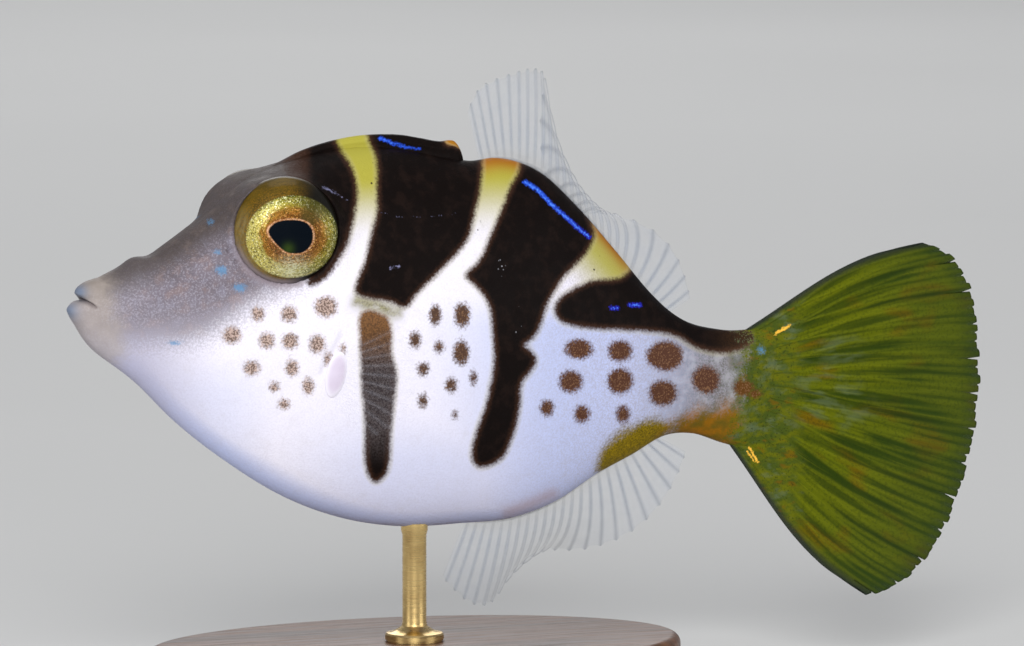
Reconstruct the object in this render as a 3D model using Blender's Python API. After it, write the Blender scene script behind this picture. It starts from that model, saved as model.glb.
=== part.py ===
"""A mimic filefish at life size, held over a small oval base by one short rod.

Millimetres in the sizes below, metres in the meshes. The head points to -X, the fish's left
side to -Y and its back to +Z. The origin is the centre of the underside of the base.
"""

import math

import bmesh
import bpy
from mathutils import Matrix, Vector

MM = 0.001
GAP = 0.3

# Outline of the body on its middle plane, as (along, up), with the head a little raised
BACK_LINE = (
    (-25.3, 32.0), (-23.2, 32.9), (-20.4, 34.0), (-17.5, 35.8), (-14.0, 38.1), (-10.6, 40.0),
    (-8.6, 40.5), (-6.0, 40.9), (-3.0, 40.95), (0.0, 40.5), (2.5, 39.95), (4.6, 39.55), (6.5, 39.7),
    (8.2, 39.4), (10.4, 38.4), (13.0, 36.1), (16.5, 32.3), (19.5, 28.9), (22.0, 26.8), (24.5, 26.0),
    (29.0, 26.0),
)
BELLY_LINE = (
    (-25.3, 26.2), (-22.6, 24.2), (-19.4, 21.1), (-15.0, 17.7), (-10.6, 15.0), (-6.0, 13.2),
    (-1.5, 12.35), (3.5, 12.3), (8.3, 12.6), (11.5, 13.6), (14.9, 15.5), (17.8, 16.8),
    (20.5, 18.1), (23.0, 18.2), (26.2, 17.3), (29.0, 16.5),
)
WIDEST_LINE = ((-25.3, 29.2), (-18.0, 28.8), (-12.5, 29.2), (-5.0, 28.4), (3.0, 27.0), (12.0, 25.2),
               (20.0, 23.2), (29.0, 21.3))
HALF_WIDTH = ((-25.3, 1.6), (-22.0, 2.5), (-18.0, 3.5), (-14.0, 4.4), (-10.0, 5.1), (-5.0, 5.6),
              (0.0, 5.7), (5.0, 5.3), (10.0, 4.4), (15.0, 3.3), (20.0, 2.2), (24.0, 1.55), (29.0, 1.1))
BACK_FULLNESS = ((-25.3, 2.2), (-16.0, 2.3), (-9.0, 2.0), (0.0, 1.75), (20.0, 1.8), (29.0, 2.0))
BELLY_FULLNESS = 1.9
RING_POINTS = 40

# Cuts between head, torso, tail stalk and tail fin: where each crosses a height, and its lean
HEAD_LEAN = math.tan(math.radians(19.0))
TAIL_LEAN = math.tan(math.radians(9.0))
GILL_CUT = (-9.8, 26.0)
STALK_CUT = (21.7, 23.0)
TAIL_CUT = (27.0, 21.5)

# Mouth: the front of both lips on the middle plane as (up, along), and the line between them
LIP_PLANE = -25.3
LIP_LINE = (
    (26.2, -25.3), (26.8, -25.95), (27.4, -26.45), (28.5, -27.15), (29.2, -27.6), (29.75, -27.75),
    (30.1, -27.45), (30.45, -26.95), (30.9, -27.15), (31.4, -26.85), (31.75, -26.2), (32.0, -25.3),
)
LIP_ROUNDNESS = 2.3
LIP_RINGS = (0.96, 0.88, 0.76, 0.6, 0.4, 0.2)
MOUTH_PLACE = (-26.75, 30.3)
MOUTH_TILT = math.radians(36.0)

# Eyes: each sits in an orbit that swells out of the head as part of a ball
ORBIT_PLACE = (-11.65, 2.25, 35.2)
ORBIT_RADIUS = 4.65
ORBIT_BLEND = 1.6
EYE_TURN = math.radians(12.0)
EYE_RISE = math.radians(3.0)
EYE_RADIUS = 3.9
EYE_BACK = -1.2
EYE_WALL = 0.9
EYE_FRONT = ((3.86, 1.5), (3.62, 2.1), (3.36, 2.4), (3.24, 2.34), (3.1, 2.52), (2.5, 2.85), (1.7, 3.1))
PUPIL_RADIUS, PUPIL_OUT = 1.55, 2.85
EYE_POINTS = 28

# Small openings of the head and the slit ahead of the pectoral fin
NOSTRILS = ((-16.3, 33.9), (-15.8, 33.1))
NOSTRIL_RADIUS = 0.25
GILL_SLIT = ((-8.2, 27.4), (-8.7, 26.4), (-9.2, 25.6), (-9.65, 24.8))
GILL_SLIT_WIDTH = 0.35
GILL_SLIT_DEPTH = 0.7

# Folded first dorsal fin: one spine that lies back along the nape with its membrane
SPINE_TOP = ((-8.6, 41.15), (-6.4, 41.6), (-4.6, 41.85), (-2.8, 41.85), (-1.1, 41.7), (0.5, 41.35),
             (2.1, 40.95), (3.9, 40.8))
SPINE_WIDTH = 1.0
SPINE_STATIONS = 12

# Soft fins, by share of the base: ray length, lean back in degrees, and sway to the right side
FIN_THICKNESS = 0.5
RAY_HEIGHT = 0.16
FIN_MARGIN_THICKNESS = 0.3
NOTCH_DEPTH = 0.03
DORSAL_BASE = (5.2, 21.3)
DORSAL_RAYS = 26
DORSAL_LENGTH = ((0, 3.5), (0.06, 4.9), (0.12, 5.6), (0.2, 6.4), (0.3, 7.3), (0.4, 7.7), (0.55, 7.0),
                 (0.7, 5.8), (0.85, 4.4), (1, 1.8))
DORSAL_LEAN = ((0, -14), (0.1, -9), (0.2, 0), (0.3, 5), (0.4, 8), (0.6, 10), (0.72, 18), (0.85, 40),
               (1, 62))
DORSAL_SWAY = ((0, 0), (0.22, 3), (0.36, 18), (0.46, 50), (0.56, 74), (0.64, 70), (0.75, 48),
               (0.87, 20), (1, 8))
ANAL_BASE = (3.9, 20.6)
ANAL_RAYS = 23
ANAL_LENGTH = ((0, 4.0), (0.06, 5.0), (0.12, 5.9), (0.25, 6.7), (0.5, 6.4), (0.75, 5.6), (0.9, 3.7),
               (1, 2.1))
ANAL_LEAN = ((0, -22), (0.12, -14), (0.25, -5), (0.4, 2), (0.6, 7), (0.8, 24), (1, 62))
ANAL_SWAY = ((0, 4), (0.18, 8), (0.36, 36), (0.5, 40), (0.64, 22), (0.8, 6), (1, 2))
FIN_ROWS = 5

# Pectoral fins
PECTORAL_BASE = ((-8.2, 26.3), (-8.8, 22.8))
PECTORAL_RAYS = 11
PECTORAL_LENGTH = ((0, 4.6), (0.35, 5.8), (0.7, 5.4), (1, 3.8))
PECTORAL_SPREAD = (32.0, -62.0)
PECTORAL_OUT = math.radians(24.0)
PECTORAL_ROOT_THICKNESS = 0.9
PECTORAL_ROWS = 4

# Tail fin: a fan about a pivot inside the tail stalk, its radius given by share from the top
FAN_PIVOT = (20.8, 23.0)
FAN_TOP, FAN_BOTTOM = 23.0, -47.5
FAN_EDGE_SWELL = 0.1
FAN_RADIUS = ((0, 23.1), (0.05, 24.6), (0.13, 25.8), (0.3, 26.5), (0.6, 26.9), (0.78, 26.8),
              (0.88, 26.2), (1, 24.4))
FAN_RAYS = 12
FAN_RAY_PARTS = 8
FAN_ROWS = 8
FAN_ROOT_THICKNESS = 1.8
FAN_BEND = 0.7

# Stand
BASE_LENGTH, BASE_DEPTH, BASE_THICKNESS = 42.0, 28.0, 3.6
BASE_EDGE = 0.7
BASE_POINTS = 48
ROD_RADIUS = 0.9
ROD_COLLAR_RADIUS, ROD_COLLAR_HEIGHT = 2.2, 0.9
ROD_POINTS = 20

# Colours as linear red, green, blue
SKIN_PALE = (0.78, 0.78, 0.86)
SKIN_SNOUT = (0.42, 0.36, 0.40)
SKIN_DARK = (0.03, 0.016, 0.012)
LIP_PALE = (0.62, 0.56, 0.52)
EYE_GOLD = (0.55, 0.42, 0.05)
FIN_CLEAR = (0.55, 0.58, 0.62)
TAIL_GREEN = (0.36, 0.40, 0.03)
WALNUT = (0.16, 0.08, 0.04)
BRASS = (0.72, 0.52, 0.22)


def clear_scene():
    for item in list(bpy.data.objects):
        bpy.data.objects.remove(item, do_unlink=True)


def curve_at(points, x):
    """Height at x of a smooth curve through the points, level beyond its ends."""
    if x <= points[0][0]:
        return points[0][1]
    if x >= points[-1][0]:
        return points[-1][1]
    i = max(k for k in range(len(points) - 1) if points[k][0] <= x)

    def secant(k):
        return (points[k + 1][1] - points[k][1]) / (points[k + 1][0] - points[k][0])

    def slope(k):
        if k == 0:
            return secant(0)
        if k == len(points) - 1:
            return secant(k - 1)
        before = points[k][0] - points[k - 1][0]
        after = points[k + 1][0] - points[k][0]
        return (secant(k - 1) * after + secant(k) * before) / (before + after)

    step = points[i + 1][0] - points[i][0]
    t = (x - points[i][0]) / step
    return (
        (2 * t**3 - 3 * t**2 + 1) * points[i][1]
        + (t**3 - 2 * t**2 + t) * step * slope(i)
        + (3 * t**2 - 2 * t**3) * points[i + 1][1]
        + (t**3 - t**2) * step * slope(i + 1)
    )


def smooth_smaller(a, b, blend):
    overlap = max(blend - abs(a - b), 0) / blend
    return min(a, b) - overlap**2 * blend / 4


def section_radius(x, direction_y, direction_z):
    """Reach of the plain body section at x from its widest height, in a unit direction."""
    centre = curve_at(WIDEST_LINE, x)
    width = curve_at(HALF_WIDTH, x)
    if direction_z >= 0:
        height, fullness = curve_at(BACK_LINE, x) - centre, curve_at(BACK_FULLNESS, x)
    else:
        height, fullness = centre - curve_at(BELLY_LINE, x), BELLY_FULLNESS
    share = abs(direction_y / width) ** fullness + abs(direction_z / height) ** fullness
    return share ** (-1 / fullness)


def body_point(x, angle):
    """A point of the skin at x, where angle 0 is the back and a quarter turn the right side.

    The plain section and the ball of the orbit are joined as one rounded solid, and the point
    is found by walking in along the direction until it meets that solid.
    """
    centre = curve_at(WIDEST_LINE, x)
    width = curve_at(HALF_WIDTH, x)
    upper = math.cos(angle) >= 0
    height = curve_at(BACK_LINE, x) - centre if upper else centre - curve_at(BELLY_LINE, x)
    direction = Vector((width * math.sin(angle), height * math.cos(angle))).normalized()
    plain = section_radius(x, *direction)
    along = x - ORBIT_PLACE[0]
    if abs(along) > ORBIT_RADIUS + ORBIT_BLEND:
        return Vector((x, plain * direction.x, centre + plain * direction.y))
    orbit = Vector((along, ORBIT_PLACE[1], centre - ORBIT_PLACE[2]))
    reach = plain + ORBIT_RADIUS
    for _ in range(30):
        aside = abs(direction.x) * reach - orbit.y
        above = direction.y * reach + orbit.z
        ball = math.sqrt(orbit.x**2 + aside**2 + above**2) - ORBIT_RADIUS
        reach -= smooth_smaller(reach - plain, ball, ORBIT_BLEND)
    return Vector((x, reach * direction.x, centre + reach * direction.y))


def side_at(x, z):
    """Half width of the plain body at a place on its side."""
    centre = curve_at(WIDEST_LINE, x)
    width = curve_at(HALF_WIDTH, x)
    if z >= centre:
        height, fullness = curve_at(BACK_LINE, x) - centre, curve_at(BACK_FULLNESS, x)
    else:
        height, fullness = centre - curve_at(BELLY_LINE, x), BELLY_FULLNESS
    return width * max(1 - abs((z - centre) / height) ** fullness, 0) ** (1 / fullness)


def lip_point(share, angle):
    """A point of the lips' front, from the rim of the lip plane (share 1) to the mouth (0)."""
    rim = body_point(LIP_PLANE, angle)
    pole = Vector((LIP_PLANE, 0, MOUTH_PLACE[1]))
    place = pole + (rim - pole) * share
    width = side_at(LIP_PLANE, place.z)
    aside = min(abs(place.y) / width, 1) if width > 0.01 else 0
    reach = LIP_PLANE - curve_at(LIP_LINE, place.z)
    place.x -= reach * (1 - aside**LIP_ROUNDNESS) ** (1 / LIP_ROUNDNESS)
    return place


def stations():
    """Places of the body's sections, closer together round the eyes and the mouth."""
    head = [LIP_PLANE, -24.6, -23.6, -22.3, -20.8, -19.3, -18.0]
    swell = ORBIT_RADIUS + ORBIT_BLEND / 2
    orbit = [ORBIT_PLACE[0] + swell * math.sin(math.radians(a)) for a in range(-80, 90, 16)]
    rear = [-5.2 + 2.0 * i for i in range(14)] + [22.7, 24.3, 26.0, 27.7, 29.0]
    return sorted(head + orbit + rear)


def new_object(name, bm, colour, roughness, metallic=0.0, smooth=40.0):
    mesh = bpy.data.meshes.new(name)
    bm.to_mesh(mesh)
    bm.free()
    item = bpy.data.objects.new(name, mesh)
    bpy.context.scene.collection.objects.link(item)
    material = bpy.data.materials.new(name)
    material.use_nodes = True
    shader = material.node_tree.nodes["Principled BSDF"]
    shader.inputs["Base Color"].default_value = (*colour, 1)
    shader.inputs["Roughness"].default_value = roughness
    shader.inputs["Metallic"].default_value = metallic
    mesh.materials.append(material)
    mesh.shade_smooth()
    mesh.set_sharp_from_angle(angle=math.radians(smooth))
    return item


def join_rings(bm, rings, closed=True):
    for lower, upper in zip(rings, rings[1:]):
        count = len(lower)
        for k in range(count if closed else count - 1):
            after = (k + 1) % count
            bm.faces.new((lower[k], lower[after], upper[after], upper[k]))


def body_mesh():
    """The whole body from lips to tail, as one closed bmesh in millimetres."""
    bm = bmesh.new()
    angles = [2 * math.pi * k / RING_POINTS for k in range(RING_POINTS)]
    tip = bm.verts.new(lip_point(0, math.pi / 2))
    rings = [[bm.verts.new(lip_point(share, a)) for a in angles] for share in reversed(LIP_RINGS)]
    rings += [[bm.verts.new(body_point(x, a)) for a in angles] for x in stations()]
    join_rings(bm, rings)
    for k in range(RING_POINTS):
        bm.faces.new((tip, rings[0][(k + 1) % RING_POINTS], rings[0][k]))
    bm.faces.new(rings[-1])
    bmesh.ops.recalc_face_normals(bm, faces=bm.faces)
    return bm


def keep_side(bm, place, outward):
    """Cuts a closed bmesh with a plane, drops what lies outward of it and caps the cut."""
    geometry = bm.verts[:] + bm.edges[:] + bm.faces[:]
    cut = bmesh.ops.bisect_plane(
        bm, geom=geometry, plane_co=place, plane_no=outward, clear_outer=True, dist=1e-5
    )
    edges = [e for e in cut["geom_cut"] if isinstance(e, bmesh.types.BMEdge)]
    bmesh.ops.holes_fill(bm, edges=edges, sides=0)
    bmesh.ops.recalc_face_normals(bm, faces=bm.faces)


def cut_normal(lean):
    return Vector((1, 0, -lean)).normalized()


def body_piece(whole, cuts):
    """Part of the body between planes, each (place, outward), held half a gap off each one."""
    bm = whole.copy()
    for place, outward in cuts:
        keep_side(bm, Vector(place) - outward * GAP / 2, outward)
    return bm


def to_metres(bm):
    bmesh.ops.scale(bm, vec=(MM, MM, MM), verts=bm.verts)
    return bm


def add_body():
    ahead = Vector((1, 0, 0))
    gill = cut_normal(HEAD_LEAN)
    tail = cut_normal(TAIL_LEAN)
    mouth = Vector((math.sin(MOUTH_TILT), 0, math.cos(MOUTH_TILT)))
    lip_place = (LIP_PLANE, 0, MOUTH_PLACE[1])
    mouth_place = (MOUTH_PLACE[0], 0, MOUTH_PLACE[1])
    gill_place = (GILL_CUT[0], 0, GILL_CUT[1])
    stalk_place = (STALK_CUT[0], 0, STALK_CUT[1])
    tail_place = (TAIL_CUT[0], 0, TAIL_CUT[1])
    pieces = {
        "upper_lip": ([(lip_place, ahead), (mouth_place, -mouth)], LIP_PALE),
        "lower_lip": ([(lip_place, ahead), (mouth_place, mouth)], LIP_PALE),
        "head": ([(lip_place, -ahead), (gill_place, gill)], SKIN_SNOUT),
        "torso": ([(gill_place, -gill), (stalk_place, ahead)], SKIN_PALE),
        "tail_stalk": ([(stalk_place, -ahead), (tail_place, tail)], SKIN_PALE),
    }
    whole = body_mesh()
    made = {
        name: new_object(name, to_metres(body_piece(whole, cuts)), colour, 0.45)
        for name, (cuts, colour) in pieces.items()
    }
    whole.free()
    return made


def cut_away(item, cutter):
    cutter.hide_render = True
    cutter.display_type = "WIRE"
    boolean = item.modifiers.new(cutter.name, "BOOLEAN")
    boolean.operation = "DIFFERENCE"
    boolean.solver = "EXACT"
    boolean.object = cutter


def eye_profile(grow):
    """Half outline of an eye as (radius, outward), from its back pole to the pupil."""
    radius = EYE_RADIUS + grow
    depth = EYE_WALL - EYE_BACK + grow
    back = [
        (radius * math.sin(a), EYE_WALL - depth * math.cos(a))
        for a in (math.radians(15 * k) for k in range(1, 7))
    ]
    if grow:
        return back + [(radius, ORBIT_RADIUS + 1.5)]
    return back + list(EYE_FRONT) + [(PUPIL_RADIUS, PUPIL_OUT)]


def eye_mesh(side, grow):
    """An eye, or a cutter for its socket, turned about its own axis out of the orbit."""
    bm = bmesh.new()
    profile = eye_profile(grow)
    out = Vector((
        -math.sin(EYE_TURN) * math.cos(EYE_RISE), side * math.cos(EYE_TURN) * math.cos(EYE_RISE),
        math.sin(EYE_RISE),
    ))
    across = out.cross(Vector((0, 0, 1))).normalized()
    upward = across.cross(out)
    middle = Vector((ORBIT_PLACE[0], side * ORBIT_PLACE[1], ORBIT_PLACE[2]))

    def place(radius, outward, turn):
        return middle + out * outward + (across * math.cos(turn) + upward * math.sin(turn)) * radius

    turns = [2 * math.pi * k / EYE_POINTS for k in range(EYE_POINTS)]
    rings = [[bm.verts.new(place(r, o, t)) for t in turns] for r, o in profile]
    join_rings(bm, rings)
    back = bm.verts.new(place(0, EYE_BACK - grow, 0))
    for k in range(EYE_POINTS):
        bm.faces.new((back, rings[0][k], rings[0][(k + 1) % EYE_POINTS]))
    bm.faces.new(rings[-1])
    bmesh.ops.recalc_face_normals(bm, faces=bm.faces)
    return to_metres(bm)


def add_eyes(head):
    for name, side in (("left", -1), ("right", 1)):
        new_object(f"eye_{name}", eye_mesh(side, 0), EYE_GOLD, 0.1)
        socket = new_object(f"socket_cutter_{name}", eye_mesh(side, GAP), EYE_GOLD, 0.1)
        cut_away(head, socket)


def add_nostrils(head):
    for side in (-1, 1):
        for number, (x, z) in enumerate(NOSTRILS):
            bm = bmesh.new()
            turn = Matrix.Rotation(math.radians(90), 4, "X")
            place = Matrix.Translation((x, side * (side_at(x, z) + 0.1), z))
            bmesh.ops.create_cone(
                bm, cap_ends=True, segments=10, radius1=NOSTRIL_RADIUS, radius2=NOSTRIL_RADIUS,
                depth=1.2, matrix=place @ turn,
            )
            cutter = new_object(f"nostril_cutter_{side + 1}_{number}", to_metres(bm), SKIN_DARK, 0.6)
            cut_away(head, cutter)


def add_gill_slits(torso):
    """A short slanted slit ahead of each pectoral fin, sunk into the side."""
    for side in (-1, 1):
        bm = bmesh.new()
        rings = []
        for i, (x, z) in enumerate(GILL_SLIT):
            taper = 0.5 if i in (0, len(GILL_SLIT) - 1) else 1.0
            half = GILL_SLIT_WIDTH * taper / 2
            inner = side * (side_at(x, z) - GILL_SLIT_DEPTH * taper)
            outer = side * (side_at(x, z) + 1.5)
            rings.append([
                bm.verts.new((x - half, inner, z)), bm.verts.new((x + half, inner, z)),
                bm.verts.new((x + half, outer, z)), bm.verts.new((x - half, outer, z)),
            ])
        join_rings(bm, rings)
        bm.faces.new(rings[0])
        bm.faces.new(rings[-1])
        bmesh.ops.recalc_face_normals(bm, faces=bm.faces)
        cutter = new_object(f"gill_cutter_{side + 1}", to_metres(bm), SKIN_DARK, 0.6)
        cut_away(torso, cutter)


def add_first_dorsal():
    """The folded spine and its membrane: a low blade along the nape, ending in a free tip."""
    bm = bmesh.new()
    first, last = SPINE_TOP[0][0], SPINE_TOP[-1][0]
    rings = []
    for i in range(SPINE_STATIONS + 1):
        share = i / SPINE_STATIONS
        x = first + (last - first) * share
        root = curve_at(BACK_LINE, x) + GAP
        top = max(curve_at(SPINE_TOP, x), root + 0.25)
        half = SPINE_WIDTH / 2 * min(1, 0.45 + 3 * share, 0.55 + 2.5 * (1 - share))
        shoulder = root + (top - root) * 0.6
        rings.append([
            bm.verts.new(p) for p in (
                (x, -half * 0.8, root), (x, half * 0.8, root), (x, half, shoulder),
                (x, half * 0.45, top), (x, -half * 0.45, top), (x, -half, shoulder),
            )
        ])
    join_rings(bm, rings)
    bm.faces.new(rings[0])
    bm.faces.new(rings[-1])
    bmesh.ops.recalc_face_normals(bm, faces=bm.faces)
    new_object("first_dorsal_fin", to_metres(bm), SKIN_DARK, 0.5)


def fin_mesh(columns, rows, centre, thickness):
    """A closed thin sheet: centre(i, q) is its middle surface and thickness(i, q) its wall.

    Both faces are split into triangles along the same diagonals.
    """
    grid = [[centre(i, k / rows) for k in range(rows + 1)] for i in range(columns)]
    bm = bmesh.new()
    faces = ([], [])
    for i in range(columns):
        strip = ([], [])
        for k in range(rows + 1):
            along = grid[min(i + 1, columns - 1)][k] - grid[max(i - 1, 0)][k]
            outward = grid[i][min(k + 1, rows)] - grid[i][max(k - 1, 0)]
            offset = along.cross(outward).normalized() * thickness(i, k / rows) / 2
            strip[0].append(bm.verts.new(grid[i][k] + offset))
            strip[1].append(bm.verts.new(grid[i][k] - offset))
        faces[0].append(strip[0])
        faces[1].append(strip[1])
    for i in range(columns - 1):
        for k in range(rows):
            for side in faces:
                a, b, c, d = side[i][k], side[i + 1][k], side[i + 1][k + 1], side[i][k + 1]
                bm.faces.new((a, b, c))
                bm.faces.new((a, c, d))
    front, back = faces
    for k in range(rows):
        for i in (0, columns - 1):
            bm.faces.new((front[i][k], front[i][k + 1], back[i][k + 1], back[i][k]))
    for i in range(columns - 1):
        for k in (0, rows):
            bm.faces.new((front[i][k], front[i + 1][k], back[i + 1][k], back[i][k]))
    bmesh.ops.recalc_face_normals(bm, faces=bm.faces)
    return to_metres(bm)


def simple_ray(i, q):
    """Wall of a fin of unbranched rays: every second column is a ray's ridge."""
    taper = FIN_THICKNESS + (FIN_MARGIN_THICKNESS - FIN_THICKNESS) * q**3
    return taper + (2 * RAY_HEIGHT * (1 - 0.6 * q) if i % 2 else 0)


def ray_direction(lean, sway, upward):
    lean, sway = math.radians(lean), math.radians(sway)
    return Vector((
        math.sin(lean) * math.cos(sway), math.sin(sway), upward * math.cos(lean) * math.cos(sway)
    ))


def add_median_fin(name, line, base, rays, length, lean, sway, upward):
    """A soft fin along the back (upward 1) or the belly (-1), its rays swung like a wave."""
    columns = 2 * rays + 1

    def centre(i, q):
        share = i / (columns - 1)
        x = base[0] + (base[1] - base[0]) * share
        root = Vector((x, 0, curve_at(line, x) + upward * (GAP + 0.05)))
        reach = curve_at(length, share) * (1 if i % 2 else 1 - NOTCH_DEPTH)
        straight = ray_direction(curve_at(lean, share), 0.35 * curve_at(sway, share), upward)
        swung = ray_direction(curve_at(lean, share), curve_at(sway, share) * 1.15, upward)
        return root + (straight * (1 - q) + swung * q).normalized() * reach * q

    new_object(name, fin_mesh(columns, FIN_ROWS, centre, simple_ray), FIN_CLEAR, 0.35)


def add_pectoral_fins():
    for name, side in (("left", -1), ("right", 1)):
        columns = 2 * PECTORAL_RAYS + 1
        upper, lower = PECTORAL_BASE

        def centre(i, q):
            share = i / (columns - 1)
            x = upper[0] + (lower[0] - upper[0]) * share
            z = upper[1] + (lower[1] - upper[1]) * share
            half = (PECTORAL_ROOT_THICKNESS / 2 + RAY_HEIGHT) * math.cos(PECTORAL_OUT)
            root = Vector((x, side * (side_at(x, z) + GAP + half), z))
            angle = math.radians(PECTORAL_SPREAD[0] * (1 - share) + PECTORAL_SPREAD[1] * share)
            ahead = Vector((
                math.cos(angle) * math.cos(PECTORAL_OUT), side * math.sin(PECTORAL_OUT),
                math.sin(angle) * math.cos(PECTORAL_OUT),
            ))
            reach = curve_at(PECTORAL_LENGTH, share) * (1 if i % 2 else 1 - NOTCH_DEPTH)
            bow = Vector((0, side * 0.8 * q * (1 - q), 0))
            return root + ahead * reach * q + bow

        def thickness(i, q):
            root = (PECTORAL_ROOT_THICKNESS - FIN_THICKNESS) * max(1 - q / 0.35, 0)
            return simple_ray(i, q) + root

        mesh = fin_mesh(columns, PECTORAL_ROWS, centre, thickness)
        new_object(f"pectoral_fin_{name}", mesh, FIN_CLEAR, 0.35)


def add_tail_fin():
    """A wide fan of forked rays, thick at its root and thin at its ragged rear edge."""
    columns = FAN_RAYS * FAN_RAY_PARTS + 1
    plane = cut_normal(TAIL_LEAN)
    tail = Vector((TAIL_CUT[0], 0, TAIL_CUT[1]))
    pivot = Vector((FAN_PIVOT[0], 0, FAN_PIVOT[1]))
    middle, half = (FAN_TOP + FAN_BOTTOM) / 2, (FAN_TOP - FAN_BOTTOM) / 2

    def centre(i, q):
        share = i / (columns - 1)
        swell = 1 + FAN_EDGE_SWELL * math.sin(math.pi * q)
        angle = math.radians(middle + half * (1 - 2 * share) * swell)
        ray = Vector((math.cos(angle), 0, math.sin(angle)))
        start = (tail - pivot + plane * GAP / 2).dot(plane) / ray.dot(plane)
        between = i % FAN_RAY_PARTS == 0
        notch = NOTCH_DEPTH * (1 if between else (0.4 if i % 2 == 0 else 0))
        end = curve_at(FAN_RADIUS, share) * (1 - notch)
        place = pivot + ray * (start + (end - start) * q)
        place.y = FAN_BEND * q * q * math.sin(math.pi * (share * 1.5 - 0.2))
        return place

    def thickness(i, q):
        part = i % FAN_RAY_PARTS
        swell = (FAN_ROOT_THICKNESS - FIN_THICKNESS) * math.sin(math.pi * i / (columns - 1))
        wall = FIN_THICKNESS + swell * max(1 - q / 0.45, 0)
        wall += (FIN_MARGIN_THICKNESS - FIN_THICKNESS) * max(q - 0.6, 0) / 0.4
        if q < 0.3:
            ridge = 1 - abs(part - 4) / 4
        elif q < 0.6:
            ridge = 1 - abs(part % 4 - 2) / 2
        else:
            ridge = part % 2
        return wall + 2 * RAY_HEIGHT * ridge * (1 - 0.5 * q)

    new_object("tail_fin", fin_mesh(columns, FAN_ROWS, centre, thickness), TAIL_GREEN, 0.4)


def add_stand():
    bm = bmesh.new()
    bmesh.ops.create_cone(
        bm, cap_ends=True, segments=BASE_POINTS, radius1=BASE_LENGTH / 2, radius2=BASE_LENGTH / 2,
        depth=BASE_THICKNESS, matrix=Matrix.Translation((0, 0, BASE_THICKNESS / 2)),
    )
    bmesh.ops.scale(bm, vec=(1, BASE_DEPTH / BASE_LENGTH, 1), verts=bm.verts)
    rim = [e for e in bm.edges if all(v.co.z > BASE_THICKNESS - 0.1 for v in e.verts)]
    bmesh.ops.bevel(bm, geom=rim, offset=BASE_EDGE, segments=3, affect="EDGES", profile=0.5)
    new_object("stand_base", to_metres(bm), WALNUT, 0.35)

    bm = bmesh.new()
    foot = BASE_THICKNESS + GAP
    heights = (
        (foot, ROD_COLLAR_RADIUS), (foot + ROD_COLLAR_HEIGHT * 0.7, ROD_COLLAR_RADIUS),
        (foot + ROD_COLLAR_HEIGHT, ROD_COLLAR_RADIUS * 0.85),
        (foot + ROD_COLLAR_HEIGHT, ROD_RADIUS), (None, ROD_RADIUS),
    )
    turns = [2 * math.pi * k / ROD_POINTS for k in range(ROD_POINTS)]
    rings = []
    for z, radius in heights:
        ring = []
        for t in turns:
            x, y = radius * math.cos(t), radius * math.sin(t)
            ring.append(bm.verts.new((x, y, belly_height(x, y) - GAP if z is None else z)))
        rings.append(ring)
    join_rings(bm, rings)
    bm.faces.new(rings[0])
    crown = bm.verts.new((0, 0, belly_height(0, 0) - GAP))
    for k in range(ROD_POINTS):
        bm.faces.new((crown, rings[-1][k], rings[-1][(k + 1) % ROD_POINTS]))
    bmesh.ops.recalc_face_normals(bm, faces=bm.faces)
    new_object("stand_rod", to_metres(bm), BRASS, 0.25, 1.0)


def belly_height(x, y):
    """Height of the skin's underside above a point of the base."""
    centre = curve_at(WIDEST_LINE, x)
    depth = centre - curve_at(BELLY_LINE, x)
    share = 1 - abs(y / curve_at(HALF_WIDTH, x)) ** BELLY_FULLNESS
    return centre - depth * share ** (1 / BELLY_FULLNESS)


def main():
    clear_scene()
    body = add_body()
    add_eyes(body["head"])
    add_nostrils(body["head"])
    add_gill_slits(body["torso"])
    add_first_dorsal()
    add_median_fin("dorsal_fin", BACK_LINE, DORSAL_BASE, DORSAL_RAYS, DORSAL_LENGTH, DORSAL_LEAN,
                   DORSAL_SWAY, 1)
    add_median_fin("anal_fin", BELLY_LINE, ANAL_BASE, ANAL_RAYS, ANAL_LENGTH, ANAL_LEAN,
                   ANAL_SWAY, -1)
    add_pectoral_fins()
    add_tail_fin()
    add_stand()


main()
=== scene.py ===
"""A mimic filefish on its display stand: skin, eyes, fins, stand and a small studio, built on the frame.

Named sizes are in millimetres and the meshes in metres. The head points to -X, the fish's left side
to -Y and its back to +Z. Markings are drawn on a chart, which is the photograph's own frame of
1024 by 646 as its camera sees the left side; the right side carries the mirror image.
"""

import math

import bpy
import numpy as np
from bpy.props import FloatProperty, FloatVectorProperty, IntProperty, PointerProperty
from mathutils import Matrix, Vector


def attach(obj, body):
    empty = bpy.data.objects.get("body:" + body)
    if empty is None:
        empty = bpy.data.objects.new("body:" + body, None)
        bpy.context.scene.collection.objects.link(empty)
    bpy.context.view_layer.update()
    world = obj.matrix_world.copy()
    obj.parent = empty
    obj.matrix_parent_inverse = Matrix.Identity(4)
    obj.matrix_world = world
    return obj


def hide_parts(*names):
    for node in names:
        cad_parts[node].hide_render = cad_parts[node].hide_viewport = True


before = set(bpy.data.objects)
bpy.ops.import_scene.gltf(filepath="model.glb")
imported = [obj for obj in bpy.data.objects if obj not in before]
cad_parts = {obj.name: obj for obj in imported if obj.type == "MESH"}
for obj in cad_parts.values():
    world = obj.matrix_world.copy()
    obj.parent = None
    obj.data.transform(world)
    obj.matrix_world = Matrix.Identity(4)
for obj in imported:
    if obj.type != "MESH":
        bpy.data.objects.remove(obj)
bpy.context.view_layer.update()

bl_info = {
    "name": "Mimic filefish model",
    "version": (1, 0, 0),
    "blender": (4, 5, 0),
    "location": "3D View > Sidebar > Filefish",
    "description": "Builds a life-size mimic filefish on a display stand",
    "category": "Add Mesh",
}

MM = 0.001

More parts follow.
